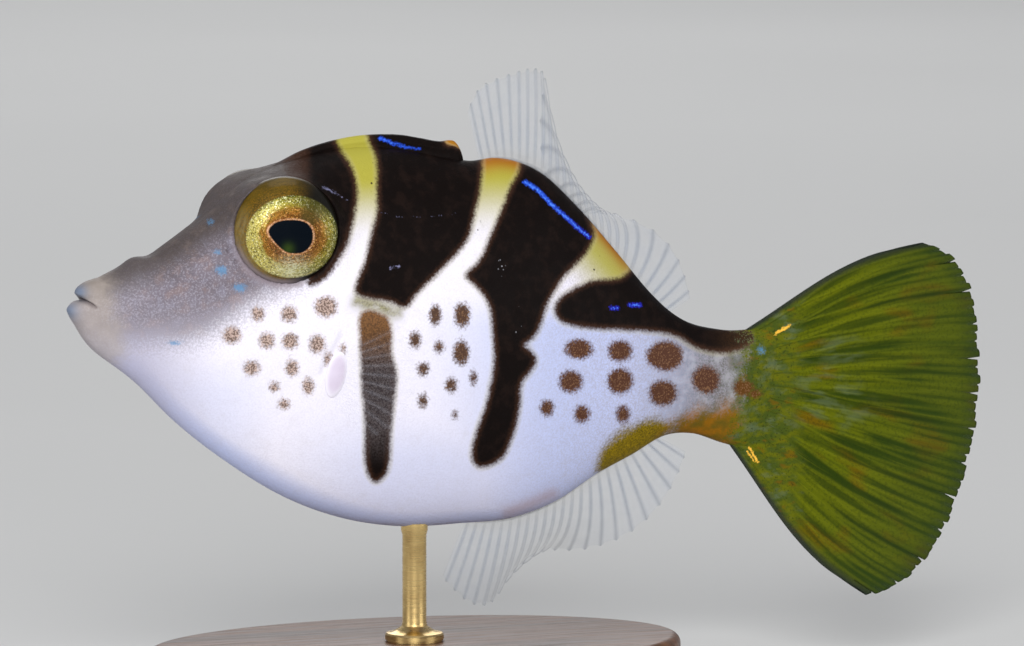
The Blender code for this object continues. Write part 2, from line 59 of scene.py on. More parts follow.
# Outline of the body on its middle plane, as (along, up), and its sections
BACK_LINE = (
    (-25.3, 32.0), (-23.2, 32.9), (-20.4, 34.0), (-17.5, 35.8), (-14.0, 38.1), (-10.6, 40.0),
    (-8.6, 40.5), (-6.0, 40.9), (-3.0, 40.95), (0.0, 40.5), (2.5, 39.95), (4.6, 39.55), (6.5, 39.7),
    (8.2, 39.4), (10.4, 38.4), (13.0, 36.1), (16.5, 32.3), (19.5, 28.9), (22.0, 26.8), (24.5, 26.0),
    (29.0, 26.0),
)
BELLY_LINE = (
    (-25.3, 26.2), (-22.6, 24.2), (-19.4, 21.1), (-15.0, 17.7), (-10.6, 15.0), (-6.0, 13.2),
    (-1.5, 12.35), (3.5, 12.3), (8.3, 12.6), (11.5, 13.6), (14.9, 15.5), (17.8, 16.8),
    (20.5, 18.1), (23.0, 18.2), (26.2, 17.3), (29.0, 16.5),
)
WIDEST_LINE = ((-25.3, 29.2), (-18.0, 28.8), (-12.5, 29.2), (-5.0, 28.4), (3.0, 27.0), (12.0, 25.2),
               (20.0, 23.2), (29.0, 21.3))
HALF_WIDTH = ((-25.3, 1.6), (-22.0, 2.5), (-18.0, 3.5), (-14.0, 4.4), (-10.0, 5.1), (-5.0, 5.6),
              (0.0, 5.7), (5.0, 5.3), (10.0, 4.4), (15.0, 3.3), (20.0, 2.2), (24.0, 1.55),
              (26.5, 1.25), (29.3, 0.42))
BACK_FULLNESS = ((-25.3, 2.2), (-16.0, 2.3), (-9.0, 2.0), (0.0, 1.75), (20.0, 1.8), (29.0, 2.0))
BELLY_FULLNESS = 1.9

# Mesh of the skin: rings over the lips, along the body and over the tail's end
SKIN_TURNS, SKIN_RINGS = 256, 386
LIP_RINGS, TAIL_RINGS = 34, 8
RING_CROWDING, TURN_CROWDING = (1.4, 5.5, 600), (1.5, 0.42, 400)
ORBIT_TURN = 1.08
EYE_REACH = 6.0
SKIN_END = 29.3
SKIN_END_BULGE = 0.35
TAIL_LEAN = math.tan(math.radians(9.0))
TAIL_LEAN_START, TAIL_LEAN_FULL, TAIL_LEAN_HEIGHT = 20.0, 26.0, 21.5

# Mouth: the front of both lips on the middle plane as (up, along), and the line between them
LIP_PLANE = -25.3
LIP_LINE = (
    (26.2, -25.3), (26.8, -25.95), (27.4, -26.45), (28.5, -27.15), (29.2, -27.6), (29.75, -27.75),
    (30.1, -27.45), (30.45, -26.95), (30.9, -27.15), (31.4, -26.85), (31.75, -26.2), (32.0, -25.3),
)
LIP_ROUNDNESS = 2.3
MOUTH_PLACE = (-26.75, 30.3)
MOUTH_TILT = math.radians(36.0)
MOUTH_DEPTH, MOUTH_WIDTH = 0.42, 0.12
MOUTH_CORNER, MOUTH_FRONT = -25.9, -26.6
MOUTH_PINCH = 0.2
MUZZLE_FOLD_RISE = (31.5, 32.8)
MUZZLE_FOLDS = ((-22.6, 0.7, 0.22), (-21.1, 0.8, -0.14))

# Eyes: each sits in an orbit that swells out of the head as part of a ball
ORBIT_PLACE = (-11.65, 2.25, 35.2)
ORBIT_RADIUS = 4.65
ORBIT_BLEND = 1.6
ORBIT_TOP_SHARE = 0.88
ORBIT_ROUNDS = 30
EYE_TURN = math.radians(12.0)
EYE_RISE = math.radians(3.0)
EYE_PROFILE = ((0, 3.16), (1.5, 3.08), (1.75, 3.06), (2.5, 2.86), (3.1, 2.55), (3.36, 2.38), (3.6, 2.15),
               (3.84, 1.86), (3.98, 1.5), (3.98, 1.0), (3.7, 0.2), (2.6, -0.8), (0, -1.2))
EYE_TURNS, EYE_ROWS = 192, 150
EYE_RADIUS = 4.0
EYE_FACING = 0.3
RIM_DEPTH, RIM_EDGE, RIM_FULL = 1.86, 5.7, 4.35
POCKET_EDGE, POCKET_FLOOR = 3.94, 3.74
POCKET_DEPTH = 1.0
RIDGE_RADIUS, RIDGE_WIDTH, RIDGE_HEIGHT = 4.1, 0.12, 0.09
RIM_SHADE_RADIUS, RIM_SHADE_WIDTH = 4.0, 0.3
GAZE = (0.34, -0.42)
IRIS_SIZE = (3.46, 3.02)
PUPIL_PLACE = (-0.28, 0.09)
PUPIL_SIZE = (1.68, 1.31)
PUPIL_NARROWING, PUPIL_LEAN = 0.27, 0.30
PUPIL_FLATTENING, PUPIL_SQUARENESS = 1.12, 2.5
PUPIL_NARROWS, PUPIL_LEANS = (0.35, -1.0), (0.4, -1.0)
SWIRL = (3.2, 17.0)

# Painted light and shade in the eyes: towards a side of the gaze as (share, degrees, fade by its cosine),
# and painted reflection and highlight in spots as (share, place, half width, squash)
EYE_SIDES = {
    "iris_shade": (0.75, 52, 0.86, 1.0), "iris_lit": (0.9, 208, 0.0, 0.9),
    "band_shade": (1.0, -8, -0.30, 0.40), "band_lit": (0.6, 195, 0.55, 1.0),
    "lit_edge": (0.75, 190, 0.35, 0.85), "low_edge": (0.75, 232, 0.55, 0.95),
}
EYE_REFLECTIONS = {
    "pupil_reflection": (0.5, (-0.45, -0.85), 0.42, 1.0), "iris_low_highlight": (0.62, (-0.15, -2.4), 0.90, 0.7),
}
LOW_EDGE_FADE, WALL_SHADE_FADE = (3.45, 3.85), (1.72, 1.56)

# Small openings of the head and flank, as (along, up)
NOSTRILS = ((-16.3, 33.9), (-15.8, 33.1))
NOSTRIL_RADIUS, NOSTRIL_DEPTH = 0.16, 0.24
NOSTRIL_LIP_RADIUS, NOSTRIL_LIP_WIDTH, NOSTRIL_LIP_HEIGHT = 0.304, 0.1, 0.08
FLANK_FROM = 1.0
GILL_SLIT = ((-8.2, 27.4), (-8.7, 26.4), (-9.2, 25.6), (-9.65, 24.8))
GILL_SLIT_WIDTH, GILL_SLIT_DEPTH = 0.15, 0.17

# Folded first dorsal fin
SPINE_TOP = (
    (-12.4, 38.9), (-11.5, 39.7), (-10.4, 40.25), (-9.4, 40.7), (-8.6, 40.97), (-6.4, 41.5),
    (-4.6, 41.75), (-2.8, 41.8), (-1.1, 41.7), (0.5, 41.4), (2.1, 41.1), (3.2, 41.1), (4.0, 40.6),
)
SPINE_HALF_WIDTH = ((-12.4, 0.35), (-7.0, 0.42), (0.0, 0.5), (2.6, 0.55), (3.6, 0.45), (4.0, 0.12))
SPINE_SUNK = 0.7
TIP_LENGTH, TIP_SHARE = 0.9, 0.35
TIP_FADE, TIP_DEPTH, TIP_EMBER = (1.8, 3.2), 0.42, (1.2, 2.6)
BLADE_SQUARENESS, BLADE_END_SHARPNESS = 0.8, 0.3
PLEATS, PLEAT_DEPTH = 9, 0.12
BLADE_MESH = (40, 160)

# Soft fins, by share of the base: ray length, lean back in degrees, and sway to the right side
FIN_CLEARANCE = 0.35
FIN_SUNK = 0.9
DORSAL_BASE = (5.2, 21.3)
DORSAL_RAYS = 26
DORSAL_LENGTH = ((0, 3.5), (0.06, 4.9), (0.12, 5.6), (0.2, 6.4), (0.3, 7.3), (0.4, 7.7), (0.55, 7.0),
                 (0.7, 5.8), (0.85, 4.4), (1, 1.8))
DORSAL_LEAN = ((0, -14), (0.1, -9), (0.2, 0), (0.3, 5), (0.4, 8), (0.6, 10), (0.72, 18), (0.85, 40),
               (1, 62))
DORSAL_SWAY = ((0, 0), (0.22, 3), (0.36, 18), (0.46, 50), (0.56, 74), (0.64, 70), (0.75, 48),
               (0.87, 20), (1, 8))
ANAL_BASE = (3.9, 20.6)
ANAL_RAYS = 23
ANAL_LENGTH = ((0, 4.0), (0.06, 5.0), (0.12, 5.9), (0.25, 6.7), (0.5, 6.4), (0.75, 5.6), (0.9, 3.7),
               (1, 2.1))
ANAL_LEAN = ((0, -22), (0.12, -14), (0.25, -5), (0.4, 2), (0.6, 7), (0.8, 24), (1, 62))
ANAL_SWAY = ((0, 4), (0.18, 8), (0.36, 36), (0.5, 40), (0.64, 22), (0.8, 6), (1, 2))
SWAY_AT_ROOT, SWAY_AT_TIP = 0.35, 1.15
FIN_COLUMNS_PER_RAY, FIN_ROWS = 8, 56
MEDIAN_NOTCH, RAY_WIDTH, RAY_TAPER = 0.035, 0.13, 0.65
MEDIAN_ROOT_SHADE, ROOT_FADE = 0.7, (0.24, 0.08)

# Looks of the clear fins, as (share of the film, of the rays, colour of the rays, share of the root)
CLEAR_LOOK = (0.055, 0.30, (0.10, 0.13, 0.19), 0.8)
MILKY_LOOK = (0.006, 0.060, (0.42, 0.42, 0.47), 0.0)

# Pectoral fins
PECTORAL_BASE = ((-8.2, 26.3), (-8.8, 22.8))
PECTORAL_RAYS = 11
PECTORAL_LENGTH = ((0, 4.6), (0.35, 5.8), (0.7, 5.4), (1, 3.8))
PECTORAL_SPREAD = (32.0, -62.0)
PECTORAL_OUT = math.radians(24.0)
PECTORAL_OFFSET = 0.385
PECTORAL_NOTCH = 0.05
PECTORAL_ROWS = 40
PECTORAL_BOW = 0.8
LOBE_HALF = (0.76, 0.20, 1.75)
LOBE_TURN = math.radians(-9.0)
LOBE_OFFSET = 0.03
LOBE_MESH = (48, 32)
LOBE_EDGE_FADE = (0.85, 0.35)

# Tail fin: a fan about a pivot inside the tail stalk, its radius given by share from the top
FAN_PIVOT = (20.8, 23.0)
FAN_TOP, FAN_BOTTOM = 23.0, -47.5
FAN_EDGE_SWELL = 0.1
FAN_START, FAN_START_TURN = 5.6, math.radians(-9.0)
FAN_RADIUS = ((0, 23.1), (0.05, 24.6), (0.13, 25.8), (0.3, 26.5), (0.6, 26.9), (0.78, 26.8),
              (0.88, 26.2), (1, 24.4))
FAN_RAYS, FAN_TWIGS = 12, 4
FIRST_FORK, SECOND_FORK, TWIG_WIDTH = (0.22, 0.5), (0.48, 0.82), 0.062
RAY_NOTCH, TWIG_NOTCH, TWIG_STEP = 0.030, 0.008, 0.006
NOTCH_RISE, NOTCH_WIDTH, TWIG_NOTCH_WIDTH = (0.72, 1.0), 0.018, 0.07
RAGGED_SEED = 4
FAN_COLUMNS_PER_RAY, FAN_ROWS = 24, 104
FAN_BEND, FAN_WAVES, FAN_WAVE_START = 0.7, 1.5, -0.2
FAN_ROOT_WALL, FAN_WALL, FAN_RAY_HEIGHT = 1.0, 0.16, 0.20
FAN_ROOT_FADE, FAN_ROOT_ROUNDNESS, FAN_ROOT_SIDES = (0.42, 0.0), 0.6, (0.02, 0.98)
FAN_TAPER, FAN_RAY_TAPER = 0.35, 0.6
FOLD_SHADE, FOLD_SPREAD, FOLD_WIDTH = 0.35, 0.3, 0.09
FAN_FADES = {"fold": (0.2, 0.7), "margin": (0.45, 0.95), "rim": (0.9, 1.0), "thin": (0.93, 1.0)}
FAN_SIDE_FADES = {"dusk": ((0.035, 0.004), (0.965, 0.996)), "thin": ((0.03, 0.0), (0.97, 1.0))}

# Stand: the collar is (above the foot, radius) and the rod's head (from the crown, radius)
BASE_SIZE = (42.0, 28.0, 3.6)
BASE_EDGE, BASE_LOWER_EDGE, BASE_EDGE_STEPS = 0.7, 0.4, 5
BASE_CREASE, ROD_CREASE = math.radians(30), math.radians(35)
ROD_RADIUS, ROD_SIDES = 0.9, 64
ROD_GAP, ROD_SUNK, ROD_DISC = 0.02, 0.25, 0.1
COLLAR_OUTLINE = (
    (0, 2.08), (0.12, 2.2), (0.5, 2.2), (0.62, 2.1), (0.68, 1.65), (0.9, 1.32),
    (1.15, 1.06 * ROD_RADIUS), (1.5, ROD_RADIUS),
)
ROD_HEAD = ((-0.9, ROD_RADIUS), (-0.5, 1.12 * ROD_RADIUS), (0, 1.12 * ROD_RADIUS))

# Camera, which the chart of the markings shares
PHOTO_SIZE = (1024, 646)
SENSOR_WIDTH = 36.0
CAMERA_AZIMUTH, CAMERA_ELEVATION = math.radians(-24.0), math.radians(6.0)
CAMERA_AIM = (8.0, 0.0, 27.2)
CLIP_RANGE = (0.01, 50)

# Light: each lamp is (name, place from the camera's aim in metres, diameter, power)
LAMPS = (
    ("key", (-0.28, -0.62, 0.30), 0.40, 4.4), ("fill", (0.55, -0.55, 0.12), 0.50, 1.2),
    ("front", (-0.70, -0.10, 0.12), 0.35, 0.6), ("top", (0.05, 0.05, 0.75), 0.50, 1.2),
    ("back", (0.25, 0.65, 0.40), 0.50, 1.4),
)
SURROUND_COLOUR, SURROUND_STRENGTH = (0.92, 0.94, 1.0), 0.30
FLOOR_SIDES = 96

# Dark markings on the chart, as outlines in pixels of the photograph's frame
NAPE_PATCH = (
    (276, 118), (335, 118), (335, 141), (354, 168), (359, 191), (355, 216), (349, 244), (336, 269),
    (322, 284), (308, 288), (310, 276), (322, 262), (326, 225), (300, 190), (282, 168),
)
FRONT_SADDLE = (
    (366, 116), (366, 137), (377, 158), (376, 196), (377, 212), (370, 235), (366, 258), (355, 285),
    (354, 295), (369, 300), (388, 301), (406, 311), (416, 296), (435, 277), (454, 258), (470, 239),
    (475, 216), (482, 187), (483, 161), (480, 116),
)
FRONT_BAND = (
    (359, 311), (360, 340), (361, 382), (365, 424), (364, 462), (369, 479), (377, 484), (387, 475),
    (390, 464), (392, 424), (395, 397), (398, 372), (391, 353), (393, 334), (389, 317), (374, 309),
)
MIDDLE_SADDLE = (
    (521, 116), (521, 168), (511, 183), (500, 212), (490, 235), (479, 262), (462, 275), (473, 284),
    (484, 296), (490, 309), (492, 330), (494, 350), (493, 372), (486, 405), (478, 425), (472, 445),
    (471, 460), (479, 469), (492, 466), (504, 458), (511, 443), (517, 424), (521, 405), (521, 383),
    (531, 373), (538, 361), (533, 351), (523, 345), (531, 341), (538, 334), (545, 312), (551, 298),
    (564, 277), (582, 260), (592, 246), (596, 233), (585, 200), (560, 160),
)
REAR_SADDLE = (
    (618, 279), (594, 279), (575, 287), (559, 297), (553, 308), (556, 318), (566, 326), (606, 330),
    (640, 331), (676, 335), (690, 346), (706, 352), (723, 354), (740, 351), (757, 344), (772, 328),
    (752, 312), (706, 302), (664, 280), (640, 258), (628, 272),
)
DARK_OUTLINES = (FRONT_SADDLE, FRONT_BAND, MIDDLE_SADDLE, REAR_SADDLE)
YELLOW_PATCH = (
    (594, 472), (600, 452), (614, 436), (632, 424), (655, 418), (674, 423), (668, 440), (640, 462),
    (614, 482),
)
RUST_PATCH = (
    (656, 440), (670, 424), (686, 414), (700, 407), (714, 411), (724, 402), (740, 403), (750, 418),
    (745, 442), (730, 454), (700, 446),
)
SNOUT_PATCH = (
    (50, 190), (130, 190), (200, 130), (345, 96), (352, 190), (328, 262), (304, 284), (284, 294),
    (262, 302), (240, 318), (218, 334), (190, 344), (150, 344), (112, 344), (84, 336), (60, 312),
    (50, 260),
)
MUZZLE_PATCH = (
    (78, 270), (76, 300), (66, 312), (76, 330), (92, 350), (112, 362), (118, 340),
    (106, 312), (104, 276),
)
GAP_LINE = ((358, 302), (378, 306), (396, 313))
VENT_LINE = ((508, 513), (530, 504), (552, 494))

# Spots on the chart, as (across, down, half width, half height)
CHEEK_SPOTS = (
    (258, 314, 7, 7), (289, 314, 8, 8), (326, 307, 11, 10), (232, 335, 9, 9), (267, 341, 8, 8),
    (290, 341, 8, 8), (317, 344, 8, 9), (252, 368, 8, 7), (292, 368, 7, 8), (274, 387, 5, 5),
    (308, 386, 6, 8), (284, 404, 6, 5), (328, 359, 4, 6), (343, 349, 3, 5),
)
FLANK_SPOTS = (
    (435, 315, 6, 10), (462, 315, 8, 12), (415, 340, 6, 8), (439, 347, 5, 6), (461, 353, 8, 12),
    (423, 369, 6, 7), (451, 385, 6, 7), (473, 378, 4, 7), (423, 401, 5, 7), (455, 415, 3, 4),
    (579, 349, 14, 10), (620, 351, 12, 11), (665, 356, 18, 15), (571, 382, 12, 11),
    (620, 381, 13, 13), (663, 393, 14, 13), (706, 380, 14, 14), (743, 388, 10, 8), (755, 394, 6, 4),
    (547, 408, 7, 8), (582, 414, 8, 9), (623, 414, 7, 8),
)

# Blue lines and flecks on the chart: each line is (half width, places)
BLUE_LINES = (
    (1.6, ((380, 138), (392, 143), (406, 147))),
    (0.8, ((406, 147), (420, 149))),
    (2.1, ((525, 182), (538, 190), (551, 204), (566, 217), (578, 228), (589, 237))),
    (1.8, ((611, 308), (618, 308))),
    (2.0, ((630, 305), (640, 305))),
)
PALE_LINES = (
    (1.3, ((323, 187), (335, 193))),
    (0.4, ((335, 193), (349, 201))),
    (0.3, ((376, 211), (398, 217), (430, 217), (457, 213))),
    (1.6, ((390, 268), (399, 266))),
)
DOT_LINES = (((500, 263), (508, 278), (514, 294), (517, 310), (519, 331)),)
PORE_LINES = (
    ((370, 160), (371, 178), (365, 196), (360, 209), (366, 213)), ((476, 222), (484, 240)),
    ((606, 256), (590, 272)),
)
BLUE_FLECKS = (
    (761, 350, 3, 3), (222, 270, 6, 4), (240, 288, 6, 4), (218, 252, 3, 2), (175, 343, 6, 2),
    (210, 222, 2, 2),
)
MILKY_SPOTS = ((812, 392, 44, 26), (846, 408, 26, 18), (842, 350, 20, 12))
GLINT_LINES = (
    (1.5, ((769, 338), (779, 331), (789, 325))),
    (1.1, ((774, 333), (783, 327))),
    (1.5, ((748, 447), (757, 462))),
    (1.1, ((746, 451), (753, 461))),
)
PORE_FADE, DOT_FADE, MILKY_FADE = (5, 2), (4.5, 2.5), (-14, 10)

# Where markings fade on the chart, in pixels: from 0 at the first place to 1 at the second
FADES_ACROSS = {
    "halo": (330, 352), "rear rust": (700, 750), "pale spots": (415, 335), "warm spots": (380, 600),
    "crown": (212, 245), "snout tip": (175, 115), "cool flank": (390, 570), "cool belly": (250, 400),
    "cool cheek": (290, 220), "throat": (235, 130), "dusky": (615, 730), "grainy": (460, 680),
    "violet": (530, 600),
}
FADES_DOWN = {
    "front bar": (250, 178), "middle bar": (246, 174), "rusty band": (376, 312),
    "dusty band": (330, 352), "dusty foot": (470, 420), "crown": (206, 180), "chin": (285, 325),
    "cool flank": (285, 330), "cool belly": (390, 470), "cool cheek": (345, 400),
}
RIM_FADE, TAIL_ROOT_FADE = (228, 262), (822, 772)
RIM_SHADE, MOUTH_SHADE, OPENING_SHADE = 0.8, 0.55, 0.14
FRONT_BAR, MIDDLE_BAR, REAR_BAR = (320, 430), (430, 545), (545, 645)
REAR_BAR_CORNER, REAR_BAR_LOWEST = (555, 310), 286
REAR_BAR_SLOPE, REAR_BAR_FADE = (0.74, -0.67), (24, 72)
NAPE_EDGE, NAPE_BEND, NAPE_SLOPES = 286, 306, (0.16, 0.4)
BAND_MARGIN, REAR_RUST_TOP = -6, 330
SNOUT_FADE, MUZZLE_FADE = (-28, 34), (-26, 14)
GAP_WIDTH, VENT_WIDTH = 7.5, 6.5
LIP_SPOTS = ((79, 292, 8.0), (68, 311, 10.0))
BLADE_DARK, TIP_LIGHT = 8, 18
CORNER_ROUNDS = 2

# Where markings fade on the body
EMBER_START, EMBER_END = (3.5, 5.5), (19, 16)
EMBER_DEPTH, EMBER_DEEPENING, EMBER_DEEPENS = 0.8, 0.5, (8, 12)
CROWN_DEPTH, COOL_BELLY_DEPTH = (2.6, 0.2), (2.4, 0.3)
LEAF_LEAN, LEAF_LEVEL, LEAF_FADE = 0.12, 23, (24.2, 28.5)


def colour_setting(name, words, default):
    return FloatVectorProperty(name=name, description=words, default=default, subtype="COLOR", min=0,
                               max=1)


def number_setting(name, words, default, least, most, unit="NONE"):
    return FloatProperty(name=name, description=words, default=default, min=least, max=most, unit=unit)


class SkinSettings(bpy.types.PropertyGroup):
    white: colour_setting("White", "Ground colour of the flank and belly", (0.86, 0.83, 0.93))
    dark: colour_setting("Saddles", "Colour of the dark saddles", (0.0055, 0.0034, 0.003))
    lilac: colour_setting("Snout", "Colour of the snout and forehead", (0.196, 0.170, 0.202))
    yellow: colour_setting("Bars", "Colour of the tops of the pale bars", (0.40, 0.365, 0.055))
    spots: colour_setting("Spots", "Colour of the spots on the flank", (0.085, 0.036, 0.022))
    grain: number_setting("Grain", "Size of the skin's finest grain", 0.00014, 0.00005, 0.002, "LENGTH")


class EyeSettings(bpy.types.PropertyGroup):
    gold: colour_setting("Ring", "Colour of the iris's bright outer ring", (0.25, 0.20, 0.018))
    amber: colour_setting("Iris", "Colour of the iris round the pupil", (0.150, 0.042, 0.006))
    olive: colour_setting("Band", "Colour of the band outside the iris", (0.10, 0.062, 0.005))


class FinSettings(bpy.types.PropertyGroup):
    membrane: number_setting("Membrane", "Thickness of the clear fins' membrane", 0.00010, 0.00005,
                             0.0004, "LENGTH")
    ray: number_setting("Ray", "Thickness of a clear fin's ray at its root", 0.00024, 0.0001, 0.0008,
                        "LENGTH")
    clear: colour_setting("Clear", "Colour of the clear fins", (0.50, 0.56, 0.68))
    lime: colour_setting("Tail", "Main colour of the tail fin", (0.108, 0.126, 0.003))
    green: colour_setting("Tail streaks", "Colour of the tail's dark streaks", (0.012, 0.032, 0.003))


class StandSettings(bpy.types.PropertyGroup):
    sides: IntProperty(name="Sides", description="Sides of the oval base", default=160, min=32, max=512)
    wood: colour_setting("Wood", "Colour of the base", (0.10, 0.042, 0.018))
    brass: colour_setting("Brass", "Colour of the rod", (0.72, 0.52, 0.22))


class StageSettings(bpy.types.PropertyGroup):
    floor: number_setting("Floor", "Radius of the floor", 4.0, 1, 20, "LENGTH")
    distance: number_setting("Camera distance", "From the camera to the fish", 0.8, 0.2, 5, "LENGTH")
    lens: number_setting("Lens", "Focal length", 375, 20, 800, "CAMERA")
    light: number_setting("Light", "Strength of all lamps", 1.0, 0, 5)


# Sums on arrays of places


def curve(points, x):
    """Heights at x of a smooth curve through the points, level beyond its ends."""
    places, heights = np.array(points, float).T
    x = np.clip(x, places[0], places[-1])
    step = np.diff(places)
    secant = np.diff(heights) / step
    slope = np.concatenate((secant[:1], secant[:1], secant[1:]))
    slope[1:-1] = (secant[:-1] * step[1:] + secant[1:] * step[:-1]) / (step[:-1] + step[1:])
    i = np.clip(np.searchsorted(places, x, side="right") - 1, 0, len(step) - 1)
    t = (x - places[i]) / step[i]
    return (
        (2 * t**3 - 3 * t**2 + 1) * heights[i] + (t**3 - 2 * t**2 + t) * step[i] * slope[i]
        + (3 * t**2 - 2 * t**3) * heights[i + 1] + (t**3 - t**2) * step[i] * slope[i + 1]
    )


def ramp(x, low, high):
    """A smooth rise from 0 at low to 1 at high; low may be the greater."""
    t = np.clip((x - low) / (high - low), 0, 1)
    return t * t * (3 - 2 * t)


def bell(x, width):
    """1 at 0, falling off smoothly to either side."""
    return np.exp(-((x / width) ** 2))


def crowded(share, run, middle, crowding):
    """Places on a run by share of the way, packed closer round its middle."""
    extra, width, steps = crowding
    places = np.linspace(*run, steps)
    density = 1 + extra * bell(places - middle, width)
    travelled = np.concatenate(((0,), np.cumsum((density[1:] + density[:-1]) / 2)))
    return np.interp(share, travelled / travelled[-1], places)


def line_distance(places, line):
    """Distance of each place from an open line of straight runs."""
    line = np.array(line, float)
    start, run = line[:-1], np.diff(line, axis=0)
    away = places[:, None] - start
    share = np.clip((away * run).sum(2) / (run**2).sum(1), 0, 1)
    return np.linalg.norm(away - share[..., None] * run, axis=2).min(1)


def nearest_line(places, lines):
    return np.min([line_distance(places, line) for line in lines], axis=0)


def depth_on_lines(places, lines):
    """How far each place lies inside the nearest of some strokes, each given as (half width, places)."""
    return np.max([width - line_distance(places, line) for width, line in lines], axis=0)


def depth_inside(places, outline):
    """How far each place lies inside a closed outline with rounded corners; negative outside."""
    corners = np.array(outline, float)
    for _ in range(CORNER_ROUNDS):
        after = np.roll(corners, -1, axis=0)
        corners = np.stack((0.75 * corners + 0.25 * after, 0.25 * corners + 0.75 * after), 1)
        corners = corners.reshape(-1, 2)
    after = np.roll(corners, -1, axis=0)
    away = line_distance(places, np.vstack((corners, corners[:1])))
    across, down = places[:, :1], places[:, 1:]
    spans = (corners[:, 1] > down) != (after[:, 1] > down)
    rise = np.where(after[:, 1] == corners[:, 1], 1, after[:, 1] - corners[:, 1])
    meets = corners[:, 0] + (after[:, 0] - corners[:, 0]) * (down - corners[:, 1]) / rise
    inside = (spans & (across < meets)).sum(1) % 2 == 1
    return np.where(inside, away, -away)


def depth_in_spots(places, spots):
    """How far each place lies inside the nearest of some oval spots; negative outside."""
    across, down, wide, high = np.array(spots, float).T
    share = np.hypot((places[:, :1] - across) / wide, (places[:, 1:] - down) / high)
    return ((1 - share) * (wide + high) / 2).max(1)


def camera_axes():
    """Unit vectors back to the camera, to its right and up."""
    back = np.array((
        math.sin(CAMERA_AZIMUTH) * math.cos(CAMERA_ELEVATION),
        -math.cos(CAMERA_AZIMUTH) * math.cos(CAMERA_ELEVATION), math.sin(CAMERA_ELEVATION),
    ))
    right = np.array((math.cos(CAMERA_AZIMUTH), math.sin(CAMERA_AZIMUTH), 0.0))
    return back, right, np.cross(back, right)


def on_chart(points):
    """Places of body points on the chart, both sides drawn as the left one."""
    stage = bpy.context.scene.filefish_stage
    back, right, up = camera_axes()
    away = points * (1, 0, 1) - np.abs(points * (0, 1, 0)) - CAMERA_AIM
    scale = PHOTO_SIZE[0] * stage.lens / SENSOR_WIDTH / (stage.distance / MM - away @ back)
    return np.stack((PHOTO_SIZE[0] / 2 + away @ right * scale, PHOTO_SIZE[1] / 2 - away @ up * scale), 1)


# The body's shape


def body_outline(x, up):
    """Height of the section from its widest place, and its fullness, above or below."""
    centre = curve(WIDEST_LINE, x)
    height = np.where(up >= 0, curve(BACK_LINE, x) - centre, centre - curve(BELLY_LINE, x))
    return centre, height, np.where(up >= 0, curve(BACK_FULLNESS, x), BELLY_FULLNESS)


def body_points(x, turn):
    """Points of the skin at x, where turn 0 is the back and a quarter turn the right side."""
    width = curve(HALF_WIDTH, x)
    centre, height, fullness = body_outline(x, np.cos(turn))
    across, up = width * np.sin(turn), height * np.cos(turn)
    length = np.hypot(across, up)
    across, up = across / length, up / length
    plain = (np.abs(across / width) ** fullness + np.abs(up / height) ** fullness) ** (-1 / fullness)
    along = x - ORBIT_PLACE[0]
    near = np.abs(along) < ORBIT_RADIUS + ORBIT_BLEND
    reach = np.where(near, plain + ORBIT_RADIUS, plain)
    for _ in range(ORBIT_ROUNDS):
        aside = np.abs(across) * reach - ORBIT_PLACE[1]
        above = up * reach + centre - ORBIT_PLACE[2]
        above = np.where(above > 0, above / ORBIT_TOP_SHARE, above)
        ball = np.sqrt(along**2 + aside**2 + above**2) - ORBIT_RADIUS
        overlap = np.maximum(ORBIT_BLEND - np.abs(reach - plain - ball), 0) / ORBIT_BLEND
        joined = np.minimum(reach - plain, ball) - overlap**2 * ORBIT_BLEND / 4
        reach = np.where(near, reach - joined, reach)
    return np.stack((x, reach * across, centre + reach * up), 1)


def side_at(x, z):
    """Half width of the plain body at a place on its side."""
    centre = curve(WIDEST_LINE, x)
    _, height, fullness = body_outline(x, z - centre)
    inside = np.maximum(1 - np.abs((z - centre) / height) ** fullness, 0)
    return curve(HALF_WIDTH, x) * inside ** (1 / fullness)


def lip_points(share, turn):
    """Points of the lips' front, from the rim of the lip plane (share 1) to the mouth (0)."""
    rim = body_points(np.full_like(turn, LIP_PLANE), turn)
    pole = np.array((LIP_PLANE, 0, MOUTH_PLACE[1]))
    places = pole + (rim - pole) * share[:, None]
    width = side_at(places[:, 0], places[:, 2])
    aside = np.clip(np.abs(places[:, 1]) / np.maximum(width, 0.01), 0, 1)
    front = LIP_PLANE - curve(LIP_LINE, places[:, 2])
    places[:, 0] -= front * (1 - aside**LIP_ROUNDNESS) ** (1 / LIP_ROUNDNESS)
    return places


def skin_points(share, turn):
    """Points of the whole skin from the share of its rings, lips to tail, and the turn round it."""
    ring = share * SKIN_RINGS
    last = SKIN_RINGS - TAIL_RINGS
    along = (ring - LIP_RINGS) / (last - LIP_RINGS)
    x = crowded(along, (LIP_PLANE, SKIN_END), ORBIT_PLACE[0], RING_CROWDING)
    beside_eye = bell(x - ORBIT_PLACE[0], EYE_REACH)
    packed = crowded(np.abs(turn) / math.pi, (0, math.pi), ORBIT_TURN, TURN_CROWDING) * np.sign(turn)
    points = body_points(x, turn + (packed - turn) * beside_eye)
    lips = ring < LIP_RINGS
    points[lips] = lip_points(ring[lips] / LIP_RINGS, turn[lips])
    end = np.clip((SKIN_RINGS - ring) / TAIL_RINGS, 0, 1)
    middle = np.array((SKIN_END, 0, (BACK_LINE[-1][1] + BELLY_LINE[-1][1]) / 2))
    tail = ring > last
    points[tail] = middle + (points[tail] - middle) * end[tail, None]
    points[:, 0] += SKIN_END_BULGE * np.sqrt(1 - end**2)
    lean = ramp(points[:, 0], TAIL_LEAN_START, TAIL_LEAN_FULL)
    points[:, 0] += TAIL_LEAN * lean * (points[:, 2] - TAIL_LEAN_HEIGHT)
    return points


